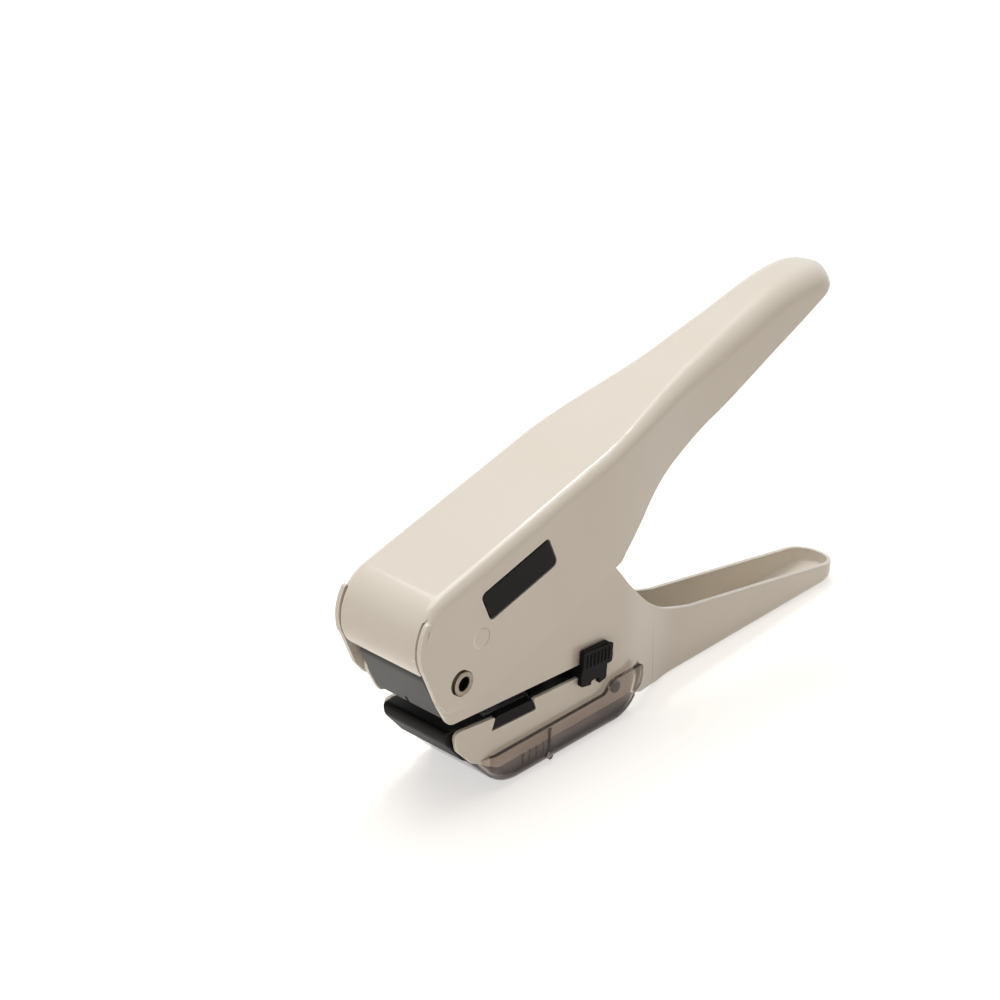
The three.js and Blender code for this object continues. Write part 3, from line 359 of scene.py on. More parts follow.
def channel_ring(x: float, half: float, flat: float, bend: float, edge: float) -> Ring:
    """One station of a channel's core.

    Args:
        x: Where the station is along the channel.
        half: Half its width.
        flat: Height of its flat side.
        bend: Radius of the bends beside the flat side.
        edge: Height of its open side.

    Returns:
        The ring of points.
    """
    way = math.copysign(1, edge - flat)
    right = [(half, edge)] + [(half - bend + out, flat + way * (bend - up)) for out, up in quarter(bend)]
    left = [(-y, z) for y, z in reversed(right)]
    return [(x, y, z) for y, z in right + left]


# Modelling


class Bench:
    """The modelling bench: Blender's own operators, used as they are by hand."""

    @staticmethod
    def alone(obj: Piece) -> Piece:
        """Selects one object and nothing else."""
        bpy.ops.object.select_all(action="DESELECT")
        obj.select_set(True)
        bpy.context.view_layer.objects.active = obj
        return obj

    @staticmethod
    def disc(name: str, spots: Sequence[Spot], fill: str = "NGON") -> Piece:
        """A circle whose points are set on an outline, filled or not."""
        bpy.ops.object.select_all(action="DESELECT")
        bpy.ops.mesh.primitive_circle_add(vertices=len(spots), fill_type=fill)
        obj = bpy.context.object
        obj.name = name
        for vertex, spot in zip(obj.data.vertices, spots):
            vertex.co = spot
        return obj

    @staticmethod
    def loft(name: str, rings: Sequence[Ring]) -> Piece:
        """A closed body drawn out station by station.

        Args:
            name: The body's name.
            rings: The stations, each a ring of as many points.

        Returns:
            The body.
        """
        obj = Bench.disc(name, rings[0])
        seats = obj.data.attributes.new("seat", "INT", "POINT")
        seats.data.foreach_set("value", range(len(rings[0])))
        bpy.ops.object.mode_set(mode="EDIT")
        bpy.ops.mesh.select_all(action="SELECT")
        for ring in rings[1:]:
            bpy.ops.mesh.extrude_region_move()
            shape = bmesh.from_edit_mesh(obj.data)
            seat = shape.verts.layers.int["seat"]
            for vertex in shape.verts:
                if vertex.select:
                    vertex.co = ring[vertex[seat]]
            bmesh.update_edit_mesh(obj.data)
        Bench._outward()
        obj.data.attributes.remove(obj.data.attributes["seat"])
        return obj

    @staticmethod
    def _outward() -> None:
        """Turns all faces out and leaves edit mode."""
        bpy.ops.mesh.select_all(action="SELECT")
        bpy.ops.mesh.normals_make_consistent(inside=False)
        bpy.ops.object.mode_set(mode="OBJECT")

    @staticmethod
    def plate(name: str, outline: Sequence[Place], low: float, high: float) -> Piece:
        """An outline seen from the side, drawn out across from low to high."""
        return Bench.loft(name, [[(x, y, z) for x, z in outline] for y in (low, high)])

    @staticmethod
    def raised(name: str, outline: Sequence[Place], low: float, high: float) -> Piece:
        """An outline seen from above, drawn up from low to high."""
        return Bench.loft(name, [[(x, y, z) for x, y in outline] for z in (low, high)])

    @staticmethod
    def block(name: str, low: Spot, high: Spot) -> Piece:
        """A square block between two corners."""
        bpy.ops.object.select_all(action="DESELECT")
        middle = [(a + b) / 2 for a, b in zip(low, high)]
        size = [b - a for a, b in zip(low, high)]
        bpy.ops.mesh.primitive_cube_add(size=1, location=middle, scale=size)
        bpy.ops.object.transform_apply(location=True, rotation=True, scale=True)
        obj = bpy.context.object
        obj.name = name
        return obj

    @staticmethod
    def turned(name: str, profile: Sequence[Place], at: Spot, upright: bool, sides: int = 40) -> Piece:
        """A turned body.

        Args:
            name: The body's name.
            profile: Radii and heights along its axis, from one end to the other.
            at: Where the axis passes.
            upright: Whether the axis is upright, and otherwise it lies across.
            sides: How many faces go round.

        Returns:
            The body.
        """
        rings: list[Ring] = []
        for radius, height in profile:
            ring: Ring = []
            for a in turns(sides):
                u, v = radius * math.cos(a), radius * math.sin(a)
                spot = (u, v, height) if upright else (u, height, v)
                ring.append(tuple(p + q for p, q in zip(at, spot)))
            rings.append(ring)
        return Bench.loft(name, rings)

    @staticmethod
    def spun(name: str, profile: Sequence[Place], sides: int = 64) -> Piece:
        """A ring about the axis across, whose profile of radii and places across closes on itself."""
        obj = Bench.disc(name, [(radius, across, 0) for radius, across in profile], "NOTHING")
        bpy.ops.object.mode_set(mode="EDIT")
        bpy.ops.mesh.select_all(action="SELECT")
        bpy.ops.mesh.spin(steps=sides, angle=2 * math.pi, center=(0, 0, 0), axis=(0, 1, 0))
        bpy.ops.mesh.select_all(action="SELECT")
        bpy.ops.mesh.remove_doubles(threshold=CLOSE)
        Bench._outward()
        return obj

    @staticmethod
    def copied(obj: Piece, name: str, axes: Matrix) -> Piece:
        """A copy of a body with a mesh of its own, moved by axes."""
        Bench.alone(obj)
        bpy.ops.object.duplicate(linked=False)
        copy = bpy.context.object
        copy.name = name
        copy.data.transform(axes)
        return copy

    @staticmethod
    def turned_to(axes: Matrix, *tools: Piece) -> list[Piece]:
        """Bodies moved by axes."""
        for tool in tools:
            tool.data.transform(axes)
        return list(tools)

    @staticmethod
    def bar(name: str, x: float, z: float, radius: float, span: Place, sides: int = 48) -> Piece:
        """A round bar across."""
        return Bench.turned(name, [(radius, y) for y in span], (x, 0, z), False, sides)

    @staticmethod
    def bore(x: float, z: float, radius: float, half: float) -> Piece:
        """What cuts the hole of a pin across, a slip wider than the pin."""
        return Bench.bar("hole", x, z, radius + PLAN.slip, (-half, half))

    @staticmethod
    def post(name: str, x: float, y: float, radius: float, span: Place, sides: int = 32) -> Piece:
        """A round post upright."""
        return Bench.turned(name, [(radius, z) for z in span], (x, y, 0), True, sides)

    @staticmethod
    def modify(obj: Piece, kind: str, **settings: object) -> Piece:
        """Adds a modifier with its settings and applies it."""
        modifier = obj.modifiers.new(kind, kind)
        for key, value in settings.items():
            setattr(modifier, key, value)
        Bench.alone(obj)
        bpy.ops.object.modifier_apply(modifier=modifier.name)
        return obj

    @staticmethod
    def meet(operation: str, obj: Piece, tools: Iterable[Piece]) -> Piece:
        """Cuts, joins or keeps what is common, and clears the tools away.

        Args:
            operation: DIFFERENCE, UNION or INTERSECT.
            obj: The body that is worked on.
            tools: The bodies that it meets, one after the other.

        Returns:
            The body that was worked on.
        """
        for tool in tools:
            Bench.modify(obj, "BOOLEAN", operation=operation, solver="EXACT", object=tool)
            bpy.data.objects.remove(tool)
        return obj

    @staticmethod
    def cut(obj: Piece, *tools: Piece) -> Piece:
        """Cuts the tools out of a body."""
        return Bench.meet("DIFFERENCE", obj, tools)

    @staticmethod
    def join(obj: Piece, *tools: Piece) -> Piece:
        """Joins bodies into one."""
        return Bench.meet("UNION", obj, tools)

    @staticmethod
    def common(obj: Piece, *tools: Piece) -> Piece:
        """Keeps what a body has in common with the tools."""
        return Bench.meet("INTERSECT", obj, tools)

    @staticmethod
    def clean(obj: Piece) -> Piece:
        """Merges doubles and clears the lines that a cut left on flat faces."""
        Bench.alone(obj)
        bpy.ops.object.mode_set(mode="EDIT")
        bpy.ops.mesh.select_all(action="SELECT")
        bpy.ops.mesh.remove_doubles(threshold=CLOSE)
        bpy.ops.mesh.dissolve_degenerate(threshold=CLOSE / 4)
        bpy.ops.mesh.dissolve_limited(angle_limit=math.radians(FLAT_TURN))
        bpy.ops.object.mode_set(mode="OBJECT")
        return obj

    @staticmethod
    def _edge_slot(obj: Piece) -> Piece:
        """Gives a body a second slot, whose index marks its eased edges."""
        while len(obj.data.materials) < 2:
            obj.data.materials.append(None)
        return obj

    @staticmethod
    def marked(obj: Piece, across: float = 2.0) -> Piece:
        """Marks as eased edges the faces whose normals lie across by less than a share; 2 is all."""
        faces = Bench._edge_slot(obj).data.polygons
        faces.foreach_set("material_index", [int(abs(face.normal.y) < across) for face in faces])
        return obj

    @staticmethod
    def ease(obj: Piece, width: float, segments: int = 2) -> Piece:
        """Rounds a body's sharp edges, as far as a width and in so many steps."""
        return Bench.modify(
            Bench._edge_slot(obj), "BEVEL", width=width, segments=segments, material=1,
            limit_method="ANGLE", angle_limit=math.radians(SHARP_TURN),
            use_clamp_overlap=False, miter_outer="MITER_ARC",
        )


# Shading


class Wire:
    """A node's output, on which sums are written as plain Python."""

    def __init__(self, tree: bpy.types.NodeTree, socket: bpy.types.NodeSocket) -> None:
        """Keeps the tree and the socket."""
        self.tree, self.socket = tree, socket

    def _sum(self, operation: str, first: Wire | float, second: Wire | float) -> Wire:
        """Adds a Math node for two values."""
        made = self.tree.nodes.new("ShaderNodeMath")
        made.operation = operation
        for place, value in zip(made.inputs, (first, second)):
            if isinstance(value, Wire):
                self.tree.links.new(value.socket, place)
            else:
                place.default_value = value
        return Wire(self.tree, made.outputs[0])

    def __add__(self, other: Wire | float) -> Wire:
        """self + other"""
        return self._sum("ADD", self, other)

    __radd__ = __add__

    def __mul__(self, other: Wire | float) -> Wire:
        """self * other"""
        return self._sum("MULTIPLY", self, other)

    __rmul__ = __mul__


Value = Wire | float | tuple


class Shading:
    """A material or a world whose nodes are added by one method."""

    def __init__(self, owner: bpy.types.Material | bpy.types.World, kind: str = "Material") -> None:
        """Clears the owner's nodes and gives it an output.

        Args:
            owner: What is shaded.
            kind: Material or World.
        """
        owner.use_nodes = True
        self.owner, self.tree = owner, owner.node_tree
        self.tree.nodes.clear()
        self.output = self.tree.nodes.new("ShaderNodeOutput" + kind)

    def add(self, kind: str, settings: dict | None = None, out: int | str = 0, **sockets: Value) -> Wire:
        """Adds a node.

        Args:
            kind: The node's type, without its prefix.
            settings: Its settings; stops are a ramp's places and greys.
            out: Which output is wanted.
            sockets: Values or wires for its inputs, with _ for a space.

        Returns:
            The wanted output.
        """
        made = self.tree.nodes.new("ShaderNode" + kind)
        for key, value in (settings or {}).items():
            if key == "stops":
                for stop, (at, tone) in zip(made.color_ramp.elements, value):
                    stop.position, stop.color = at, (tone, tone, tone, 1)
            else:
                setattr(made, key, value)
        places = {s.name: s for s in made.inputs if s.enabled} | {s.identifier: s for s in made.inputs}
        for key, value in sockets.items():
            place = places.get(key.replace("_", " ")) or places[key]
            if isinstance(value, Wire):
                self.tree.links.new(value.socket, place)
            elif isinstance(value, tuple) and place.type == "RGBA":
                place.default_value = (*value, 1)
            else:
                place.default_value = value
        return Wire(self.tree, made.outputs[out])

    def noise(self, scale: float, detail: float = 2.0, stretch: Spot = (1, 1, 1)) -> Wire:
        """A noise of so many cells in a metre, stretched along each axis."""
        spots = self.add("Mapping", Vector=self.add("TexCoord", out="Object"), Scale=stretch)
        return self.add("TexNoise", Vector=spots, Scale=scale, Detail=detail, Roughness=0.5)

    def height(self, kind: str) -> Wire:
        """The upright one of the coordinates of a kind."""
        return self.add("SeparateXYZ", out="Z", Vector=self.add("TexCoord", out=kind))

    def ramp(self, value: Wire, ends: Place) -> Wire:
        """0 below the first end, 1 above the second."""
        return self.add("ValToRGB", {"stops": list(zip(ends, (0.0, 1.0)))}, Fac=value)

    def blend(self, share: Wire, first: Value, second: Value) -> Wire:
        """A colour between two, by a share."""
        kind = {"data_type": "RGBA"}
        return self.add("Mix", kind, 2, Factor_Float=share, A_Color=first, B_Color=second)

    def varied(self, base: float, shares: Sequence[float], *wires: Wire) -> Wire:
        """A base to which a share of each wire is added."""
        total: Value = base
        for share, wire in zip(shares, wires):
            total = total + share * wire
        return total

    def rim(self) -> Wire:
        """1 on the eased edges of a piece."""
        return self.add("Attribute", {"attribute_type": "GEOMETRY", "attribute_name": "rim"}, "Fac")

    def seen(self) -> Wire:
        """1 for what is looked at, straight, in a reflection or through glass."""
        rays = [self.add("LightPath", out=f"Is {ray} Ray") for ray in ("Camera", "Glossy", "Transmission")]
        return rays[0] + rays[1] + rays[2]

    def bump(self, height: Wire, depth: float, strength: float) -> Wire:
        """A normal from a height, with the depth in metres."""
        return self.add("Bump", Height=height, Distance=depth, Strength=strength)

    def end(self, shader: Wire) -> None:
        """Wires the last shader to the output."""
        self.tree.links.new(shader.socket, self.output.inputs["Surface"])

    def surface(self, **sockets: Value) -> bpy.types.Material:
        """Ends the material with a principled surface."""
        self.end(self.add("BsdfPrincipled", **sockets))
        return self.owner


@dataclass(frozen=True)
class Paint:
    """Baked ivory paint on sheet steel: a faint orange peel under a clear gloss, paler on the edges, where
    thin, worn paint is joined by a painted highlight.
    """

    tone: Tone = (0.83, 0.77, 0.68)
    warm: Tone = (0.8, 0.735, 0.64)
    # Pale edge colour: thin, worn paint together with a painted highlight along the edges
    thin: Tone = (0.98, 0.95, 0.9)
    cloud: float = 26.0
    cloud_ends: Place = (0.35, 0.7)
    peel: float = 620.0
    peel_depth: float = 0.00003
    peel_strength: float = 0.35
    grain: float = 5200.0
    grain_height: float = 0.12
    wear: float = 500.0
    wear_and_highlight_ends: Place = (0.25, 0.45)
    wear_and_highlight_share: float = 0.9
    roughness: float = 0.3
    rough_shares: Place = (0.1, 0.05)
    coat: float = 0.6
    coat_roughness: float = 0.1

    def make(self, s: Shading) -> bpy.types.Material:
        """Builds the material."""
        cloud = s.noise(self.cloud, detail=3)
        peel = s.noise(self.peel, detail=1.5)
        grain = s.noise(self.grain, detail=1)
        paint = s.blend(s.ramp(cloud, self.cloud_ends), self.tone, self.warm)
        # Edges painted paler, partly for worn paint and partly as a painted highlight of the edge catching
        # light
        wear_and_highlight = s.rim() * s.ramp(s.noise(self.wear, detail=3), self.wear_and_highlight_ends)
        return s.surface(
            Base_Color=s.blend(wear_and_highlight * self.wear_and_highlight_share, paint, self.thin),
            Roughness=s.varied(self.roughness, self.rough_shares, cloud, grain),
            Normal=s.bump(peel + self.grain_height * grain, self.peel_depth, self.peel_strength),
            Coat_Weight=self.coat,
            Coat_Roughness=self.coat_roughness,
            IOR=1.5,
        )


@dataclass(frozen=True)
class Moulding:
    """Moulded plastic with a fine spark grain, a few pale rubs, and paler edges that are partly wear and
    partly a painted highlight.
    """

    tone: Tone
    # Tone of the rubs, and of the edges, whose paleness is partly a painted highlight
    rubbed_and_highlight: Tone
    roughness: float = 0.42
    shine: float = 0.5
    rough_drop: float = 0.06
    rough_shares: Place = (0.12, 0.08)
    cloud: float = 60.0
    cloud_ends: Place = (0.45, 0.7)
    grain: float = 2600.0
    grain_depth: float = 0.00003
    grain_strength: float = 0.5
    rub: float = 900.0
    rub_stretch: Spot = (0.15, 1, 1)
    rub_ends: Place = (0.68, 0.8)
    rub_share: float = 0.5
    wear: float = 700.0
    wear_and_highlight_ends: Place = (0.4, 0.65)
    wear_and_highlight_share: float = 0.6

    def make(self, s: Shading) -> bpy.types.Material:
        """Builds the material."""
        cloud = s.noise(self.cloud, detail=3)
        grain = s.noise(self.grain)
        rubs = s.noise(self.rub, 4, self.rub_stretch)
        rub = s.ramp(rubs, self.rub_ends) * s.ramp(cloud, self.cloud_ends)
        # Paler edges: partly edge wear, partly a painted highlight
        wear = s.rim() * s.ramp(s.noise(self.wear, detail=3), self.wear_and_highlight_ends)
        return s.surface(
            Base_Color=s.blend(rub * self.rub_share + wear * self.wear_and_highlight_share, self.tone, self.rubbed_and_highlight),
            Roughness=s.varied(self.roughness - self.rough_drop, self.rough_shares, cloud, grain),
            Normal=s.bump(grain, self.grain_depth, self.grain_strength),
            Specular_IOR_Level=self.shine,
            IOR=1.5,
        )


@dataclass(frozen=True)
class Smoke:
    """Clear smoky plastic of the chip tray: polished, with faint flow marks; painted shade darkens it
    towards the bottom and along its eased edges.
    """

    tone: Tone = (0.66, 0.59, 0.55)
    deep: Tone = (0.56, 0.49, 0.45)
    # Painted shade: the tray is painted this dark towards its bottom, where the table under it lies in
    # shade
    thick: Tone = (0.1, 0.08, 0.078)
    # Painted shade along the eased edges, for the shadowed gap at the tray's rim
    seam: Tone = (0.12, 0.09, 0.075)
    shade_low: float = 0.003
    shade_high: float = 0.0068
    shade_wave: float = 0.001
    flow: float = 70.0
    flow_stretch: Spot = (0.5, 1, 1.6)
    flow_ends: Place = (0.3, 0.7)
    flow_depth: float = 0.00008
    flow_strength: float = 0.3
    haze: float = 1500.0
    shaded_edge_share: float = 0.85
    roughness: float = 0.05
    rough_shares: Place = (0.06, 0.03)
    clear: float = 0.92
    shine: float = 0.3
    ior: float = 1.3

    def make(self, s: Shading) -> bpy.types.Material:
        """Builds the material."""
        flow = s.noise(self.flow, 3, self.flow_stretch)
        haze = s.noise(self.haze)
        # Painted shade by height: 0 at the tray's bottom, where it is painted dark, rising to 1 higher up
        rise = s.add("MapRange", {"interpolation_type": "SMOOTHSTEP"}, From_Min=self.shade_low,
                     From_Max=self.shade_high, Value=s.height("Object") + self.shade_wave * flow)
        wall = s.blend(s.ramp(flow, self.flow_ends), self.tone, self.deep)
        return s.surface(
            # Eased edges painted dark as painted shade, over the body colour that is painted dark towards
            # the bottom
            Base_Color=s.blend(s.rim() * self.shaded_edge_share, s.blend(rise, self.thick, wall), self.seam),
            Roughness=s.varied(self.roughness, self.rough_shares, flow, haze),
            Normal=s.bump(flow, self.flow_depth, self.flow_strength),
            Transmission_Weight=self.clear,
            Specular_IOR_Level=self.shine,
            IOR=self.ior,
        )


@dataclass(frozen=True)
class Metal:
    """Bare or plated steel, with fine lines the way it was ground, drawn or turned."""

    tone: Tone
    dark: Tone
    roughness: float
    lines: Spot
    scale: float = 900.0
    depth: float = 0.00001
    strength: float = 0.4
    rough_drop: float = 0.04
    rough_share: float = 0.14
    cloud: float = 120.0
    cloud_ends: Place = (0.35, 0.75)
    cloud_share: float = 0.6

    def make(self, s: Shading) -> bpy.types.Material:
        """Builds the material."""
        lines = s.noise(self.scale, 3, self.lines)
        cloud = s.ramp(s.noise(self.cloud, detail=3), self.cloud_ends)
        return s.surface(
            Base_Color=s.blend(cloud * self.cloud_share, self.tone, self.dark),
            Roughness=s.varied(self.roughness - self.rough_drop, [self.rough_share], lines),
            Metallic=1.0,
            Normal=s.bump(lines, self.depth, self.strength),
        )


FINISHES = {
    Slot.PAINT: Paint(),
    Slot.BLACK: Moulding((0.009, 0.0085, 0.0088), (0.05, 0.05, 0.052), 0.42, 0.08),
    Slot.GREY: Moulding((0.085, 0.087, 0.091), (0.16, 0.163, 0.168), 0.48, 0.35),
    Slot.WASHER: Moulding((0.75, 0.74, 0.7), (0.6, 0.58, 0.54), 0.4),
    Slot.SMOKE: Smoke(),
    Slot.STEEL: Metal((0.4, 0.4, 0.41), (0.26, 0.26, 0.27), 0.38, (0.08, 1, 1)),
    Slot.SPRING: Metal((0.5, 0.5, 0.51), (0.33, 0.33, 0.35), 0.32, (1, 1, 0.1), 1400),
    Slot.NICKEL: Metal((0.29, 0.25, 0.2), (0.16, 0.13, 0.09), 0.26, (1, 0.1, 1), 1400),
}


@cache
def look(slot: Slot) -> bpy.types.Material:
    """The material of a finish, made once."""
    return FINISHES[slot].make(Shading(bpy.data.materials.new(slot.value)))


def dress(obj: Piece, axes: Matrix, body: Body, slot: Slot, node: str, turn: float = SMOOTH_TURN) -> Piece:
    """Puts a finished body in its place, smooths it, and lets it ride in place of a CAD node.

    Args:
        obj: The body, in millimetres.
        axes: Takes its places to places about the fulcrum.
        body: What it moves with.
        slot: Its finish.
        node: The node that it stands for.
        turn: Edges that turn less than this many degrees are shaded smooth.

    Returns:
        The piece.
    """
    obj.data.transform(PLAN.row @ axes)
    Bench.alone(obj)
    bpy.ops.object.shade_smooth_by_angle(angle=math.radians(turn))
    Bench.modify(obj, "WEIGHTED_NORMAL", weight=100, keep_sharp=True)
    faces = obj.data.polygons
    rim = obj.data.attributes.new("rim", "FLOAT", "FACE")
    rim.data.foreach_set("value", [float(face.material_index) for face in faces])
    faces.foreach_set("material_index", [0] * len(faces))
    obj.data.materials.clear()
    obj.data.materials.append(look(slot))
    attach(obj, body.value)
    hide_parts(node)
    LOG.info("%s: %d faces, on %s", obj.name, len(faces), body.value)
    return obj


# Sides and ranges


def both(make: Callable[[int], Piece]) -> list[Piece]:
    """What a function makes for the one side and for the other."""
    return [make(1), make(-1)]


def between(side: int, low: float, high: float) -> Place:
    """A range across, on one side."""
    return (low, high) if side > 0 else (-high, -low)


def beyond(low: float, high: float) -> Place:
    """A range with the overrun at both ends."""
    return (low - PLAN.overrun, high + PLAN.overrun)


# Frame body


@dataclass
class FrameShell:
    """The painted channel: two cheeks round the throat and the trough of the lower handle."""

    reach: float = 157.5
    cheek_front: float = 9.4
    cheek_toe: float = 2.9
    cheek_top: float = 9.3
    cheek_round: float = 3.6
    crown_top: float = 13.6
    crown_front: float = 42.0
    crown_rear: float = 51.6
    throat_end: float = 56.0
    notch_half: float = 6.6
    notch_flare: float = 1.4
    notch_depth: float = 3.4
    lip_rise: float = 1.1
    jaw_front: float = 1.1
    jaw_round: float = 2.2
    jaw_bottom: float = 30.3
    jaw_chin: float = 5.0
    jaw_chin_drop: float = 25.2
    jaw_bottom_front: float = 14.0
    heel_front: float = 63.0
    heel_middle: float = 69.0
    heel_middle_drop: float = 33.9
    heel_rear: float = 83.0
    heel_round: float = 6.0
    heel_sweep: float = 36.0
    die_cheek_drop: float = 17.6
    die_round: float = 4.2
    waist_front: float = 58.0
    waist_rear: float = 86.0
    waist_steps: int = 20
    rim_front: float = 92.0
    rim_front_rise: float = 17.4
    rim_end_rise: float = 5.4
    bend: float = 1.5
    end_bend: float = 2.8
    end_run: float = 9.0
    end_rise: float = 2.2
    relief: float = 0.4
    relief_start: float = -110.0
    relief_end: float = 10.0
    edge: float = 0.22
    rim_steps: int = 66
    rim_shares: tuple[Place, ...] = (
        (0.585, -0.526), (0.553, -0.484), (0.525, -0.439), (0.501, -0.384), (0.473, -0.301),
        (0.449, -0.218), (0.425, -0.122), (0.403, -0.022), (0.388, 0.047), (0.371, 0.141),
        (0.355, 0.225), (0.344, 0.284),
    )

    def stations(self, inset: float) -> list[Ring]:
        """The channel's core, drawn in by an inset."""
        end_centre = self.reach - PLAN.frame_grip_half

        def ring(x: float, half: float) -> Ring:
            bend = lerp(self.bend, self.end_bend, eased(x, self.rim_front, end_centre)) - inset
            rise = self.end_rise * round_off(x, self.reach - self.end_run, self.reach)
            edge = self.crown_top + PLAN.overrun + inset
            return channel_ring(x, half, PLAN.table + rise + inset, min(bend, half * MOST_BEND), edge)

        def half_at(x: float) -> float:
            share = eased(x, self.waist_front, self.waist_rear)
            return lerp(PLAN.cheek_half, PLAN.frame_grip_half, share) - inset

        waist = spread(self.waist_front, self.waist_rear, self.waist_steps)
        grip = spread(self.reach - self.end_run, end_centre, 2)
        end = arc(end_centre, 0, PLAN.frame_grip_half - inset, 90, LAST_ANGLE)[1:]
        rows = [-self.cheek_front - PLAN.overrun - inset, *waist, *grip]
        return [ring(x, half_at(x)) for x in rows] + [ring(x, half) for x, half in end]

    def notch(self, inset: float) -> list[Spot]:
        """Corners of the dovetail in the throat's floor."""
        rear = PLAN.punch_arm + self.notch_half - inset
        front = PLAN.punch_arm - self.notch_half + inset
        low = inset - self.notch_depth
        return [
            (rear, PLAN.floor(rear), self.notch_flare / 2),
            (rear + self.notch_flare, PLAN.floor(rear) + low, self.notch_flare / 4),
            (front - self.notch_flare, PLAN.floor(front) + low, self.notch_flare / 4),
            (front, PLAN.floor(front), self.notch_flare / 2),
        ]

    def outline(self) -> list[Place]:
        """The channel's outline from the side."""
        table, toe = PLAN.table, self.cheek_toe
        past = self.reach + PLAN.overrun
        slope = (self.rim_front_rise - self.rim_end_rise) / (self.reach - self.rim_front)
        rim = smooth_line(self.rim_shares, self.reach, PLAN.lift, self.rim_steps)
        gap = PLAN.throat_gap / 2
        lower = rounded([
            (-self.cheek_front, toe / 4, self.cheek_round),
            (-toe, PLAN.roof(-toe), self.cheek_round),
            (self.throat_end, PLAN.roof(self.throat_end), gap),
            (self.throat_end, PLAN.floor(self.throat_end), gap),
            *self.notch(0),
            (-self.jaw_front, PLAN.floor(-self.jaw_front) + self.lip_rise - PLAN.rest, self.jaw_round),
            (0, -self.die_cheek_drop - self.jaw_round, self.die_round),
            (self.jaw_chin, -self.jaw_chin_drop, self.jaw_round),
            (self.jaw_bottom_front, -self.jaw_bottom, self.jaw_round),
            (self.heel_front, -self.jaw_bottom, self.heel_round / 2),
            (self.heel_middle, -self.heel_middle_drop, self.heel_round),
            (self.heel_rear, table, self.heel_sweep),
            (past, table),
            (past, table + self.rim_end_rise - slope * PLAN.overrun),
            (self.rim_front + self.heel_round, table + self.rim_front_rise - slope * self.heel_round),
        ])[:-1]
        upper = rounded([
            rim[-1],
            (self.crown_rear, self.crown_top, toe / 2),
            (self.crown_front, self.crown_top, toe / 2),
            (self.crown_front - self.crown_top + self.cheek_top, self.cheek_top, toe / 2),
            (-self.cheek_front / 2, self.cheek_top, self.cheek_round),
            (-self.cheek_front, self.cheek_top / 2, self.cheek_round),
        ])[1:]
        return lower + rim + upper

    def build(self) -> Piece:
        """Presses the channel, cuts its outline and its holes, and dresses it."""
        wide = PLAN.cheek_half + PLAN.overrun
        shell = Bench.loft("frame_shell", self.stations(0))
        Bench.cut(shell, Bench.loft("inner", self.stations(PLAN.sheet)))
        Bench.common(shell, Bench.plate("outline", self.outline(), -wide, wide))
        hinge = (PLAN.hinge_x, -PLAN.hinge_drop)
        outer = arc(*hinge, PLAN.tray_heel + self.relief, self.relief_start, self.relief_end, step=4)
        inner = PLAN.tray_heel - PLAN.tray_bend + self.relief
        curl = outer + arc(*hinge, inner, self.relief_end, self.relief_start, step=4)
        Bench.cut(
            shell,
            Bench.bore(0, 0, PLAN.rivet_radius, wide),
            Bench.bore(PLAN.stop_x, PLAN.stop_rise, PLAN.stop_radius, wide),
            Bench.bore(PLAN.lug_x, PLAN.lug_rise, PLAN.lug_radius, wide),
            Bench.bore(*hinge, PLAN.hinge_pin, wide),
            Bench.plate("curl", curl, -wide, wide),
        )
        Bench.ease(Bench.clean(shell), self.edge)
        return dress(shell, Matrix(), Body.FRAME, Slot.PAINT, "frame")


# Lever body


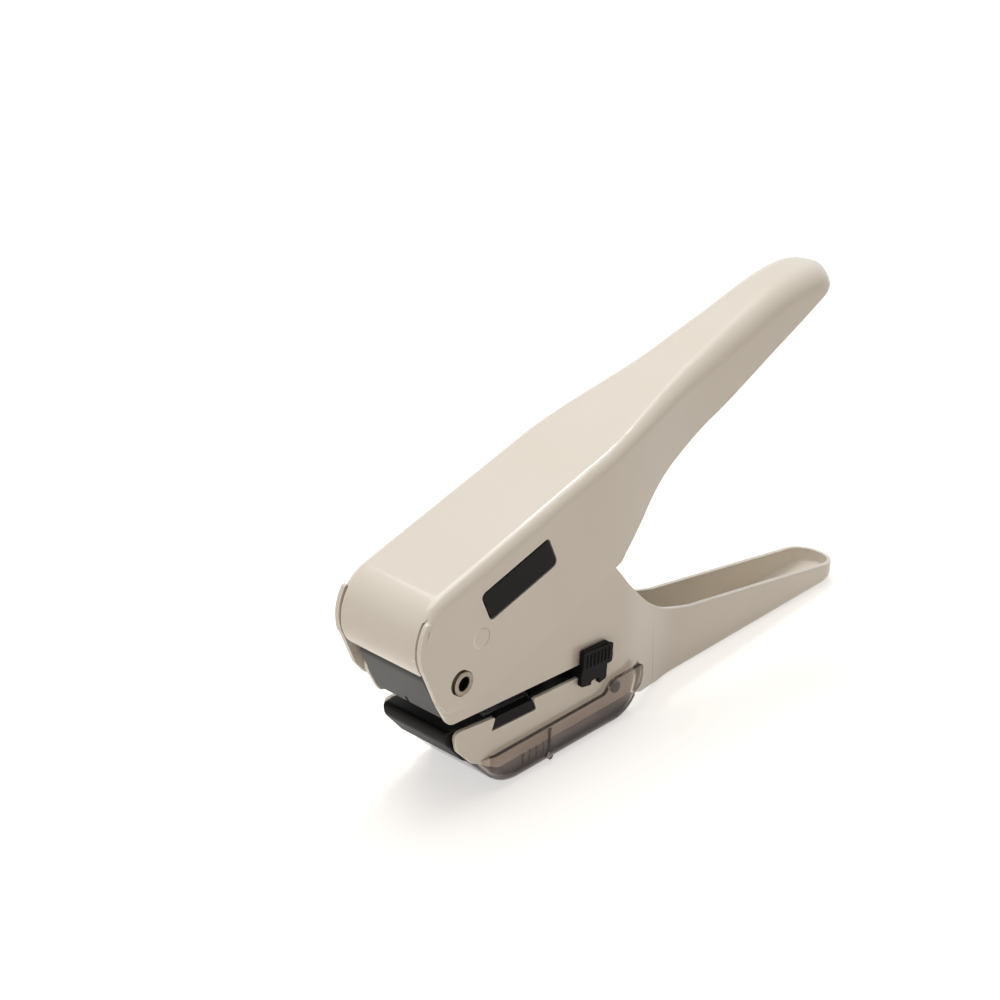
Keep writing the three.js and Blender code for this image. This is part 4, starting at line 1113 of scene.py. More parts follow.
@dataclass
class LeverShell:
    """The painted squeeze lever: a channel with a bent-down nose strip, windows and dimples."""

    top: float = 25.8
    reach: float = 156.5
    nose_radius: float = 12.1
    nose_centre: float = 1.1
    head_end: float = 58.0
    waist_end: float = 100.0
    waist_steps: int = 22
    middle_steps: int = 8
    grip_steps: int = 9
    under_steps: int = 70
    waist_share: float = 0.55
    ear_radius: float = 7.4
    edge_end: float = 57.0
    edge_drop: float = 4.8
    bend: float = 3.1
    end_bend: float = 5.8
    dome_front: float = 127.0
    dome_drop: float = 8.4
    slit: float = 0.7
    slit_top: float = 23.0
    strip_bottom: float = 8.8
    strip_round: float = 1.4
    strip_steps: int = 8
    lap: float = 5.0
    lobe: float = 0.9
    lobe_start: float = 131.0
    hole_shift: float = 1.2
    hole_angle: float = 143.0
    dimple_s: float = 8.3
    dimple_n: float = 8.0
    dimple_radius: float = 2.6
    dimple_proud: float = 0.4
    dimple_steps: int = 6
    window_front: float = 10.9
    window_rear: float = 35.1
    window_low: float = 10.2
    window_high: float = 19.0
    window_lean: float = 1.3
    window_round: float = 1.6
    ear_start: float = 194.0
    edge: float = 0.2
    ear_shares: tuple[Spot, ...] = (
        (-1.25, 0.1, 0.4), (-0.95, -0.58, 0.5), (0.1, -1.02, 1.2),
    )
    underside_shares: tuple[Place, ...] = (
        (0.375, -0.13), (0.391, -0.075), (0.426, 0.05), (0.449, 0.14), (0.473, 0.212),
        (0.497, 0.262), (0.525, 0.296), (0.566, 0.32), (0.621, 0.345), (0.693, 0.372),
        (0.855, 0.495), (1.03, 0.68),
    )

    def half_at(self, s: float) -> float:
        """Half the lever's width at a place along it."""
        head = lerp(PLAN.lever_front_half, PLAN.lever_rear_half, passed(s, 0, self.head_end))
        taper = passed(s, self.head_end, self.dome_front)
        waist = eased(s, self.head_end, self.waist_end)
        return lerp(head, PLAN.lever_grip_half, lerp(taper, waist, self.waist_share))

    def stations(self, inset: float) -> list[Ring]:
        """The channel's core, drawn in by an inset."""
        end_centre = self.reach - PLAN.lever_grip_half

        def ring(s: float, half: float, flat: float) -> Ring:
            to_end = eased(s, self.head_end, self.dome_front + self.bend)
            bend = min(lerp(self.bend, self.end_bend, to_end) - inset, half * MOST_BEND)
            return channel_ring(s, half, flat - inset, bend, -self.top - inset)

        def dome(s: float) -> float:
            return self.top - self.dome_drop * round_off(s, self.dome_front, self.reach)

        nose = arc(self.nose_centre, self.top - self.nose_radius, self.nose_radius - inset, 180, 90)
        waist = spread(self.head_end, self.waist_end, self.waist_steps)
        middle = spread(self.waist_end, self.dome_front, self.middle_steps)[1:-1]
        grip = spread(self.dome_front, end_centre, self.grip_steps)
        end = arc(end_centre, 0, PLAN.lever_grip_half - inset, 90, LAST_ANGLE)[1:]
        rings = [ring(s, self.half_at(s) - inset, n + inset) for s, n in nose]
        rings += [ring(s, self.half_at(s) - inset, dome(s)) for s in (*waist, *middle, *grip)]
        return rings + [ring(s, half, dome(s)) for s, half in end]

    def outline(self) -> list[Place]:
        """The channel's outline from the side."""
        under = smooth_line(self.underside_shares, self.reach, self.top, self.under_steps)
        nose_n = self.top - self.nose_radius
        front, above = self.nose_centre - self.nose_radius, self.top + PLAN.overrun
        ear = [tuple(share * self.ear_radius for share in corner) for corner in self.ear_shares]
        corners = [(front, nose_n), *ear, (self.edge_end, -self.edge_drop, self.bend), under[0]]
        return [
            *arc(self.nose_centre, nose_n, self.nose_radius, 180, self.ear_start, step=4),
            *rounded(corners)[1:-1],
            *under,
            (under[-1][0], above),
            (front - PLAN.overrun, above),
            (front - PLAN.overrun, nose_n),
        ]

    def window(self, inset: float) -> list[Place]:
        """The outline of a side window."""
        radius = self.window_round - inset / 2
        return rounded([
            (self.window_front + self.window_lean + inset, self.window_low + inset, radius),
            (self.window_rear + self.window_lean - inset, self.window_low + inset, radius),
            (self.window_rear - inset, self.window_high - inset, radius),
            (self.window_front + inset, self.window_high - inset, radius),
        ])

    def strip(self) -> Piece:
        """The lower end of the nose strip."""
        half = PLAN.lever_front_half - PLAN.sheet - self.slit
        nose_n = self.top - self.nose_radius
        fall = math.asin((nose_n - self.strip_bottom + PLAN.sheet) / self.nose_radius)
        angles = [180 - self.lap, *spread(180, 180 + math.degrees(fall), self.strip_steps)]
        sides = ((self.nose_radius, angles), (self.nose_radius - PLAN.sheet, angles[::-1]))
        spots = [arc(self.nose_centre, nose_n, radius, a, a)[0] for radius, way in sides for a in way]
        low, r, above = self.strip_bottom, self.strip_round, self.top
        corners = rounded([(above, half), (low, half, r), (low, -half, r), (above, -half)])
        limit = Bench.raised("limit", corners, 0, self.top)
        limit.data.transform(Matrix.Rotation(-math.pi / 2, 4, "Y"))
        return Bench.common(Bench.plate("strip", spots, -half, half), limit)

    def lobe_at(self, side: int) -> Piece:
        """The flat front of a side beside the nose strip, round at its top."""
        centre = (self.nose_centre, self.top - self.nose_radius)
        start, end, r = self.lobe_start, self.ear_start, self.lobe
        cap = arc(*centre, self.nose_radius - r, start, start)[0]
        outline = [
            *arc(*centre, self.nose_radius, end, start + self.lap),
            *arc(*cap, r, start, start - 180, step=20),
            *arc(*centre, self.nose_radius - 2 * r, start + self.lap, end),
        ]
        span = between(side, PLAN.lever_front_half - PLAN.sheet, PLAN.lever_front_half)
        return Bench.plate("lobe", outline, *span)

    def build(self) -> Piece:
        """Presses the channel, cuts it, raises its dimples and dresses it."""
        wide = PLAN.lever_front_half + PLAN.overrun
        shell = Bench.loft("lever_shell", self.stations(0))
        Bench.cut(shell, Bench.loft("inner", self.stations(PLAN.sheet)))
        Bench.common(shell, Bench.plate("outline", self.outline(), -wide, wide))
        inner, low = PLAN.lever_front_half - PLAN.sheet, -self.top
        front = self.nose_centre - self.nose_radius - PLAN.overrun
        rear = self.nose_centre - self.nose_radius / 3

        def slot(side: int) -> Piece:
            left, right = between(side, inner - self.slit, inner)
            return Bench.block("slot", (front, left, low), (rear, right, self.slit_top))

        below = Bench.block("below", (front, -inner, low), (rear, inner, self.top - self.nose_radius))
        Bench.cut(shell, below, *both(slot))
        Bench.join(shell, self.strip(), *both(self.lobe_at))
        half, radius = self.half_at(self.dimple_s), self.dimple_radius
        dome = [(radius * out, self.dimple_proud * up) for out, up in quarter(1, self.dimple_steps)[:-1]]

        def dimple(side: int) -> Piece:
            line = [(r, side * (half + h)) for r, h in [(radius, -PLAN.sheet / 2), *dome]][::side]
            return Bench.turned("dimple", line, (self.dimple_s, 0, self.dimple_n), False)

        def hollow(side: int) -> Piece:
            span = between(side, half - PLAN.sheet - PLAN.overrun, half - PLAN.sheet / 2)
            return Bench.bar("hollow", self.dimple_s, self.dimple_n, radius / 2, span)

        Bench.join(shell, *both(dimple))
        angle = self.hole_angle - PLAN.lever_tilt
        shift = arc(0, 0, self.hole_shift, angle, angle)[0]
        Bench.cut(
            shell,
            Bench.bore(0, 0, PLAN.rivet_radius, wide),
            Bench.bore(*shift, PLAN.rivet_radius, wide),
            Bench.plate("window", self.window(0), -wide, wide),
            *both(hollow),
        )
        Bench.ease(Bench.clean(shell), self.edge, segments=3)
        return dress(shell, PLAN.lever, Body.LEVER, Slot.PAINT, "lever")


# Blocks, plates and springs of the frame body


@dataclass
class HeadBlock:
    """The dark grey moulding between the upper cheeks: it guides the punch and seats the springs."""

    brow: float = 10.5
    brow_rise: float = 4.2
    brow_round: float = 3.6
    chin: float = 4.3
    chin_drop: float = 8.9
    mouth: float = 0.6
    shoulder: float = 5.2
    shoulder_rise: float = 7.6
    shoulder_front: float = 4.7
    rear_lug: float = 35.7
    rear: float = 39.0
    rear_rise: float = 8.4
    pocket: float = 3.45
    pocket_floor: float = 4.4
    mark_width: float = 1.0
    mark_depth: float = 0.4
    mark_length: float = 1.8
    edge: float = 0.3

    def outline(self) -> list[Place]:
        """The block's outline from the side."""
        sheet = PLAN.sheet
        shoulder, lug = PLAN.roof(self.shoulder) + PLAN.deck, PLAN.roof(self.rear_lug) + PLAN.deck
        return rounded([
            (-self.brow, self.brow_rise, PLAN.slot_width / 2),
            (-self.chin, -self.chin_drop, sheet),
            (self.mouth, PLAN.roof(self.mouth), sheet),
            (self.rear, PLAN.roof(self.rear), sheet / 2),
            (self.rear, self.rear_rise, sheet),
            (self.rear_lug, self.rear_rise, sheet / 2),
            (self.rear_lug, lug),
            (self.shoulder + sheet / 2, shoulder),
            (self.shoulder, self.shoulder_rise, sheet),
            (-self.shoulder_front, self.shoulder_rise, self.brow_round),
        ], step=8)

    def tools(self) -> list[Piece]:
        """What is cut out of the block for the punch, its springs and the guide plate."""
        up, rest = PLAN.deck + PLAN.overrun, PLAN.rest
        long, wide = PLAN.plate_half_long + rest, PLAN.plate_half_wide + rest
        made = [
            Bench.block("seat", (-long, -wide, -PLAN.overrun), (long, wide, PLAN.guide_thick + rest)),
            Bench.raised("slot", obround(PLAN.slot_width, PLAN.slot_length, rest), 0, up),
        ]
        for u in (PLAN.spring_offset, -PLAN.spring_offset):
            made.append(Bench.post("pocket", u, 0, self.pocket, (self.pocket_floor, up)))
            span = (PLAN.guide_pin_foot - rest, self.pocket_floor + rest)
            made.append(Bench.post("pin", u, 0, PLAN.guide_pin + PLAN.slip, span))
        for u, y in CutterPlates.corners():
            span = (0, PLAN.screw_length + rest)
            made.append(Bench.post("screw", u, y, PLAN.screw_radius + PLAN.slip, span))
        return Bench.turned_to(PLAN.throat, *made)

    def build(self) -> Piece:
        """Moulds the block, cuts it and dresses it."""
        block = Bench.plate("head_block_moulding", self.outline(), -PLAN.block_half, PLAN.block_half)
        Bench.ease(block, self.edge)
        low, wide = -self.chin_drop, PLAN.cheek_half
        mark = [
            (-self.brow, low + self.mark_length),
            (-self.chin - self.mark_depth, low + self.mark_length),
            (-self.chin + 2 * self.mark_depth, low - self.mark_depth),
            (-self.chin - PLAN.overrun, low - PLAN.overrun),
        ]
        Bench.cut(
            block,
            Bench.bore(0, 0, PLAN.rivet_radius, wide),
            Bench.bore(PLAN.lug_x, PLAN.lug_rise, PLAN.lug_radius, wide),
            Bench.plate("mark", mark, -self.mark_width / 2, self.mark_width / 2),
            *self.tools(),
        )
        return dress(Bench.clean(block), Matrix(), Body.FRAME, Slot.GREY, "head_block")


@dataclass
class DieBlock:
    """The black lower jaw with its round nose, keyed into the cheeks by a dovetail each side."""

    nose: float = 2.7
    nose_round: float = 2.1
    brow: float = 14.05
    cheek: float = 2.2
    cheek_drop: float = 17.6
    chin: float = 3.7
    chin_drop: float = 24.6
    foot: float = 8.6
    bottom: float = 27.6
    rear: float = 46.0
    lip_end: float = 12.2
    lip_round: float = 6.6
    chute_half_long: float = 3.4
    chute_half_wide: float = 8.4
    edge: float = 0.5

    def build(self, cheeks: FrameShell) -> Piece:
        """Moulds the block, keys it to the cheeks and dresses it.

        Args:
            cheeks: The channel whose notches it fills.

        Returns:
            The piece.
        """
        outline = rounded([
            (self.lip_end, PLAN.floor(self.lip_end), self.lip_round),
            (-self.nose, -self.brow, self.nose_round),
            (-self.cheek, -self.cheek_drop, 2 * self.nose_round),
            (self.chin, -self.chin_drop, self.nose_round),
            (self.foot, -self.bottom, PLAN.sheet),
            (self.rear, -self.bottom, PLAN.sheet),
            (self.rear, PLAN.floor(self.rear), PLAN.sheet),
        ], step=6)
        block = Bench.plate("die_block_moulding", outline, -PLAN.block_half, PLAN.block_half)
        Bench.ease(block, self.edge, segments=3)
        lug = rounded(cheeks.notch(PLAN.rest))

        def key(side: int) -> Piece:
            span = between(side, PLAN.block_half - PLAN.sheet, PLAN.cheek_half - PLAN.slip)
            return Bench.ease(Bench.plate("key", lug, *span), self.edge / 3)

        Bench.join(block, *both(key))
        rest = PLAN.rest
        long, wide = PLAN.plate_half_long + rest, PLAN.plate_half_wide + rest
        low = -PLAN.throat_gap - PLAN.die_thick - rest
        tools = [
            Bench.block("seat", (-long, -wide, low), (long, wide, 0)),
            Bench.block("chute", (-self.chute_half_long, -self.chute_half_wide, -self.bottom),
                        (self.chute_half_long, self.chute_half_wide, low + rest)),
        ]
        for u, y in CutterPlates.corners():
            span = (-PLAN.throat_gap - PLAN.screw_length - rest, -PLAN.throat_gap)
            tools.append(Bench.post("screw", u, y, PLAN.screw_radius + PLAN.slip, span))
        Bench.cut(block, *Bench.turned_to(PLAN.throat, *tools))
        return dress(Bench.clean(block), Matrix(), Body.FRAME, Slot.BLACK, "die_block")


@dataclass
class CutterPlates:
    """The ground guide plate and die plate, each held by four cross-head screws."""

    die_clearance: float = 0.15
    corner: float = 1.0
    cross_width: float = 0.42
    cross_depth: float = 0.6
    cross_reach: float = 0.6
    edge: float = 0.12
    plate_edge: float = 0.04

    @staticmethod
    def corners() -> list[Place]:
        """Where the screws stand, in the throat's axes."""
        u, y = PLAN.screw_u, PLAN.screw_y
        return [(u, y), (-u, y), (-u, -y), (u, -y)]

    def screw(self, spare: float, sides: int = 40) -> Piece:
        """A countersunk screw with its head at zero and its shank downwards, or the hole that it needs.

        Args:
            spare: 0 for the screw, or the play of its hole.
            sides: How many faces go round.

        Returns:
            The body.
        """
        head, shank = PLAN.screw_head + spare, PLAN.screw_radius + spare
        if spare:
            profile = [(head, PLAN.overrun), (head, -PLAN.screw_sink / 4), (shank, -PLAN.screw_sink),
                       (shank, -PLAN.screw_length)]
            return Bench.turned("hole", profile, (0, 0, 0), True, sides)
        foot = -PLAN.screw_length
        profile = [(head - self.edge, 0), (head, -self.edge), (head, -PLAN.screw_sink / 4),
                   (shank, -PLAN.screw_sink), (shank, foot + shank / 2), (shank / 2, foot)]
        made = Bench.turned("screw", profile, (0, 0, 0), True, sides)
        reach, half = head * self.cross_reach, self.cross_width / 2
        arms = [Bench.block("arm", (-a, -b, -self.cross_depth), (a, b, PLAN.rest))
                for a, b in ((reach, half), (half, reach))]
        return Bench.cut(made, *arms)

    def plate(self, name: str, thick: float, clearance: float) -> Piece:
        """A ground plate under zero with its slot and its screw holes."""
        outline = oblong(PLAN.plate_half_long, PLAN.plate_half_wide, self.corner)
        made = Bench.raised(name, outline, -thick, 0)
        slot = obround(PLAN.slot_width, PLAN.slot_length, clearance)
        Bench.cut(made, Bench.raised("slot", slot, *beyond(-thick, 0)))
        hole = self.screw(PLAN.slip)
        holes = [Bench.copied(hole, "hole", Matrix.Translation((u, y, -PLAN.rest / 2)))
                 for u, y in self.corners()]
        bpy.data.objects.remove(hole)
        return Bench.ease(Bench.clean(Bench.cut(made, *holes)), self.plate_edge)

    def build(self) -> None:
        """Grinds both plates, turns the screws and dresses them."""
        upside = Matrix.Rotation(math.pi, 4, "X")
        lower = Matrix.Translation((0, 0, -PLAN.throat_gap))
        screw = self.screw(0)
        kinds = (
            ("guide_screw", "punch_guide", upside, PLAN.guide_thick, PLAN.slip),
            ("die_screw", "die_plate", lower, PLAN.die_thick, self.die_clearance),
        )
        for kind, node, axes, thick, clearance in kinds:
            plate = self.plate(f"{node}_ground", thick, clearance)
            dress(plate, PLAN.throat @ axes, Body.FRAME, Slot.STEEL, node)
            for i, (u, y) in enumerate(self.corners(), 1):
                way = axes.inverted() @ Vector((u, y, 0))
                spot = Matrix.Translation((way.x, way.y, -PLAN.rest / 2))
                made = Bench.copied(screw, f"{kind}_turned_{i}", spot)
                dress(made, PLAN.throat @ axes, Body.FRAME, Slot.STEEL, f"{kind}_{i}")
        bpy.data.objects.remove(screw)


@dataclass
class FulcrumRivet:
    """The hollow nickel rivet: a tube whose ends are rolled out over the lever."""

    proud: float = 0.35
    rim: float = 0.45
    steps: int = 12

    def build(self) -> Piece:
        """Turns the rivet, rolls its ends and dresses it."""
        end = PLAN.lever_front_half + self.proud
        middle = (PLAN.rivet_bore + PLAN.rivet_radius) / 2
        roll = PLAN.rivet_radius - middle
        lip = [(middle - roll * math.cos(a), end - self.rim + self.rim * math.sin(a))
               for a in spread(0, math.pi, self.steps)]
        rivet = Bench.spun("fulcrum_rivet_turned", lip + [(r, -y) for r, y in reversed(lip)])
        return dress(rivet, Matrix(), Body.FRAME, Slot.NICKEL, "fulcrum_rivet")


@dataclass
class Pins:
    """The cross pins, hinge pins, washers and guide pins, each with eased ends."""

    washer: float = 5.2
    washer_thick: float = 0.5
    ease: float = 0.3

    def pin(self, name: str, at: Spot, radius: float, span: Place, upright: bool = False) -> Piece:
        """A pin with rounded ends."""
        e, (low, high) = self.ease, span
        start = [(radius - e + e * up, low + e - e * out) for out, up in quarter(1, steps=4)]
        profile = [*start, *[(r, low + high - h) for r, h in reversed(start)]]
        return Bench.turned(name, profile, at, upright)

    def build(self) -> None:
        """Turns every pin and washer and dresses it."""
        half, level = PLAN.cheek_half, Matrix()
        stop, lug, hinge = ((x, 0, z) for x, z in (
            (PLAN.stop_x, PLAN.stop_rise), (PLAN.lug_x, PLAN.lug_rise), (PLAN.hinge_x, -PLAN.hinge_drop)))
        made = [
            (self.pin("stop_pin_turned", stop, PLAN.stop_radius, (-half, half)), level, Slot.STEEL),
            (self.pin("block_pin_turned", lug, PLAN.lug_radius, (-half, half)), level, Slot.STEEL),
        ]
        for i, side in enumerate((1, -1), 1):
            span = between(side, PLAN.cheek_inner, PLAN.tray_half - PLAN.hinge_skin - PLAN.slip)
            pin = self.pin(f"tray_hinge_pin_turned_{i}", hinge, PLAN.hinge_pin, span)
            made.append((pin, level, Slot.BLACK))
            place = (side * PLAN.spring_offset, 0, 0)
            span = (PLAN.guide_pin_foot, PLAN.carrier_top - PLAN.slip)
            pin = self.pin(f"carrier_guide_pin_turned_{i}", place, PLAN.guide_pin, span, True)
            made.append((pin, PLAN.throat, Slot.STEEL))
            inside = half + PLAN.rest / 2
            span = between(side, inside, inside + self.washer_thick)
            washer = Bench.bar(f"fulcrum_washer_turned_{i}", 0, 0, self.washer, span)
            Bench.cut(washer, Bench.bore(0, 0, PLAN.rivet_radius, inside + PLAN.overrun))
            made.append((Bench.ease(washer, self.washer_thick / 5), level, Slot.WASHER))
        for obj, axes, slot in made:
            dress(obj, axes, Body.FRAME, slot, obj.name.replace("_turned", ""))


@dataclass
class ReturnSprings:
    """The two coil springs round the guide pins, closed at both ends."""

    radius: float = 2.7
    wire: float = 0.9
    curls: int = 7
    seat: float = 4.4
    steps: int = 28
    sides: int = 10
    smooth: float = 50.0

    def rings(self, side: int) -> list[Ring]:
        """The wire's stations in the throat's axes."""
        low = self.seat + PLAN.rest + self.wire / 2
        high = PLAN.carrier_low - PLAN.rest - self.wire / 2
        count, closed = self.curls * self.steps, self.steps / 2
        rings: list[Ring] = []
        for i in range(count + 1):
            angle = i / self.steps * 2 * math.pi
            climb = passed(i, closed / 2, count - closed / 2)
            out = Vector((math.cos(angle), math.sin(angle), 0))
            middle = out * self.radius + Vector((side * PLAN.spring_offset, 0, lerp(low, high, climb)))
            section = [out * math.cos(t) + Vector((0, 0, math.sin(t))) for t in turns(self.sides)]
            rings.append([tuple(middle + spot * self.wire / 2) for spot in section])
        return rings

    def build(self) -> None:
        """Winds both springs and dresses them."""
        for side, node in ((-1, "return_spring_front"), (1, "return_spring_rear")):
            spring = Bench.loft(f"{node}_wound", self.rings(side))
            dress(spring, PLAN.throat, Body.FRAME, Slot.SPRING, node, self.smooth)


# Pressure block and wear plate in the lever


@dataclass
class PressureBlock:
    """The black moulding in the lever: it fills the windows, presses the punch and hooks under a pin."""

    play: float = 0.4
    skirt: float = 0.8
    front: float = 9.0
    back: float = 38.0
    boss_half_long: float = 5.6
    boss_height: float = 5.0
    beam_half: float = 4.0
    beam_depth: float = 5.0
    hook_front: float = 2.6
    hook_back: float = 4.4
    hook_thick: float = 2.1
    hook_play: float = 0.5
    sink: float = 0.4
    proud: float = 0.08
    edge: float = 0.35

    def hook(self, high: float) -> Piece:
        """The beam behind the block, whose upper end is given, and its hook under the stop pin."""
        pin = PLAN.lever.inverted() @ Vector((PLAN.stop_x, 0, PLAN.stop_rise))
        tip = pin.z - PLAN.stop_radius - PLAN.rest
        clear, back = pin.x + PLAN.stop_radius + self.hook_play, pin.x + self.hook_back
        root, beam = self.back - self.sink, high - self.beam_depth
        front, toe, step = pin.x - self.hook_front, tip - self.hook_thick, PLAN.sheet / 2
        outline = rounded([
            (root, beam), (clear, beam, step), (clear, tip, step), (front, tip, step / 2),
            (front, toe, step), (back, toe, step), (back, high, PLAN.sheet), (root, high),
        ])
        return Bench.ease(Bench.plate("hook", outline, -self.beam_half, self.beam_half), self.edge)

    def groove(self, low: float) -> Piece:
        """The room for the front guide pin as the lever closes."""
        tip = PLAN.throat @ Vector((-PLAN.spring_offset, 0, PLAN.carrier_top))
        opened = PLAN.lever.inverted() @ tip
        closed = Matrix.Rotation(math.radians(PLAN.lever_tilt - PLAN.travel), 4, "Y") @ tip
        room = PLAN.guide_pin + PLAN.rest
        return Bench.block("groove", (self.front - PLAN.overrun, -room, low - PLAN.overrun),
                           (opened.x + room, room, closed.z + PLAN.rest))

    def build(self, lever: LeverShell) -> Piece:
        """Moulds the block, cuts its seats and dresses it.

        Args:
            lever: The channel whose windows it fills.

        Returns:
            The piece.
        """
        half = lever.half_at(self.back) - PLAN.sheet - self.play
        low, high, round_ = lever.window_low - self.skirt, lever.window_high + self.skirt, self.skirt
        slab = rounded([(self.front, low, round_), (self.back, low, round_), (self.back, high, round_),
                        (self.front, high, round_)])
        block = Bench.ease(Bench.plate("pressure_block_moulding", slab, -half, half), self.edge)
        wide, rest = PLAN.wear_half_wide, PLAN.rest
        boss = Bench.block("boss", (-self.boss_half_long, -wide, PLAN.wear_thick + rest),
                           (self.boss_half_long, wide, self.boss_height))
        boss.data.transform(PLAN.wear)
        Bench.common(boss, Bench.block("limit", (0, -wide, 0), (self.back, wide, low + self.sink)))

        def lug(side: int) -> Piece:
            span = between(side, half - self.sink, lever.half_at(lever.window_rear) + self.proud)
            return Bench.ease(Bench.plate("lug", lever.window(rest), *span), self.edge, segments=3)

        Bench.join(block, boss, self.hook(high), *both(lug))
        long, side = PLAN.wear_half_long + rest, wide + rest
        tools = [Bench.block("seat", (-long, -side, -PLAN.overrun), (long, side, PLAN.wear_thick + rest))]
        for y in (PLAN.wear_rivet_y, -PLAN.wear_rivet_y):
            span = (0, PLAN.wear_rivet_length + rest)
            tools.append(Bench.post("hole", 0, y, PLAN.wear_rivet + PLAN.slip, span))
        Bench.cut(block, self.groove(low), *Bench.turned_to(PLAN.wear, *tools))
        return dress(Bench.clean(block), PLAN.lever, Body.LEVER, Slot.BLACK, "pressure_block")


@dataclass
class WearPlate:
    """The steel plate that rolls on the punch's cap, with its two rivets."""

    edge: float = 0.15

    def build(self) -> None:
        """Grinds the plate, turns its rivets and dresses them."""
        long, wide, thick = PLAN.wear_half_long, PLAN.wear_half_wide, PLAN.wear_thick
        plate = Bench.block("wear_plate_ground", (-long, -wide, 0), (long, wide, thick))
        axes = PLAN.lever @ PLAN.wear
        for i, side in enumerate((1, -1), 1):
            y = side * PLAN.wear_rivet_y
            Bench.cut(plate, Bench.post("hole", 0, y, PLAN.wear_rivet + PLAN.slip, beyond(0, 0)))
            span = (PLAN.slip, PLAN.wear_rivet_length)
            name = f"wear_plate_rivet_turned_{i}"
            rivet = Pins(ease=self.edge).pin(name, (0, y, 0), PLAN.wear_rivet, span, True)
            dress(rivet, axes, Body.LEVER, Slot.STEEL, f"wear_plate_rivet_{i}")
        Bench.ease(Bench.clean(plate), self.edge)
        dress(plate, axes, Body.LEVER, Slot.STEEL, "wear_plate")


# Punch body


@dataclass
class PunchUnit:
    """The blade, the carrier that holds it and the crowned cap over it."""

    retract: float = 0.3
    hollow: float = 0.8
    flange: float = 0.8
    flange_thick: float = 1.2
    carrier_half_long: float = 13.6
    carrier_round: float = 2.0
    edge: float = 0.2

    def blade(self) -> Piece:
        """The blade with its flange and its hollowed tip."""
        high = PLAN.carrier_top - PLAN.slip
        flat, long = obround(PLAN.slot_width, PLAN.slot_length), PLAN.slot_length / 2 + PLAN.overrun
        made = Bench.raised("punch_blade_ground", flat, self.retract, high - self.flange_thick / 2)
        head = obround(PLAN.slot_width, PLAN.slot_length, self.flange)
        flange = Bench.ease(Bench.raised("flange", head, high - self.flange_thick, high), self.edge / 2)
        below, peak, wide = self.retract - PLAN.overrun, self.retract + self.hollow, PLAN.slot_width
        rings = [[(x, -long, below), (x, long, below), (x, 0, peak)] for x in (-wide, wide)]
        Bench.join(made, flange)
        return Bench.clean(Bench.cut(made, Bench.loft("hollow", rings)))

    def carrier(self) -> Piece:
        """The plate that carries the blade and rests on the springs."""
        low, high, slip = PLAN.carrier_low, PLAN.carrier_top, PLAN.slip
        outline = oblong(self.carrier_half_long, PLAN.carrier_half_wide, self.carrier_round)
        made = Bench.raised("punch_carrier_milled", outline, low, high)
        under, over = beyond(low, high)
        seat, size = high - slip - self.flange_thick - slip, (PLAN.slot_width, PLAN.slot_length)
        tools = [
            Bench.raised("slot", obround(*size, slip), under, over),
            Bench.raised("seat", obround(*size, self.flange + slip), seat, over),
        ]
        for u in (PLAN.spring_offset, -PLAN.spring_offset):
            tools.append(Bench.post("hole", u, 0, PLAN.guide_pin + 2 * slip, (under, over)))
        return Bench.ease(Bench.clean(Bench.cut(made, *tools)), self.edge)

    def cap(self) -> Piece:
        """The cap with its crowned top."""
        low, half = PLAN.cap_top - PLAN.cap_thick, PLAN.cap_half_long
        reach = math.degrees(math.asin(half / PLAN.crown_radius))
        crown = arc(0, PLAN.cap_top - PLAN.crown_radius, PLAN.crown_radius, 90 - reach, 90 + reach, step=2)
        wide, outline = PLAN.carrier_half_wide, [(-half, low), (half, low), *crown]
        return Bench.ease(Bench.plate("punch_cap_ground", outline, -wide, wide), self.edge)

    def build(self) -> None:
        """Makes the three pieces and dresses them."""
        for made in (self.blade(), self.carrier(), self.cap()):
            dress(made, PLAN.throat, Body.PUNCH, Slot.STEEL, made.name.rpartition("_")[0])


# Slider body


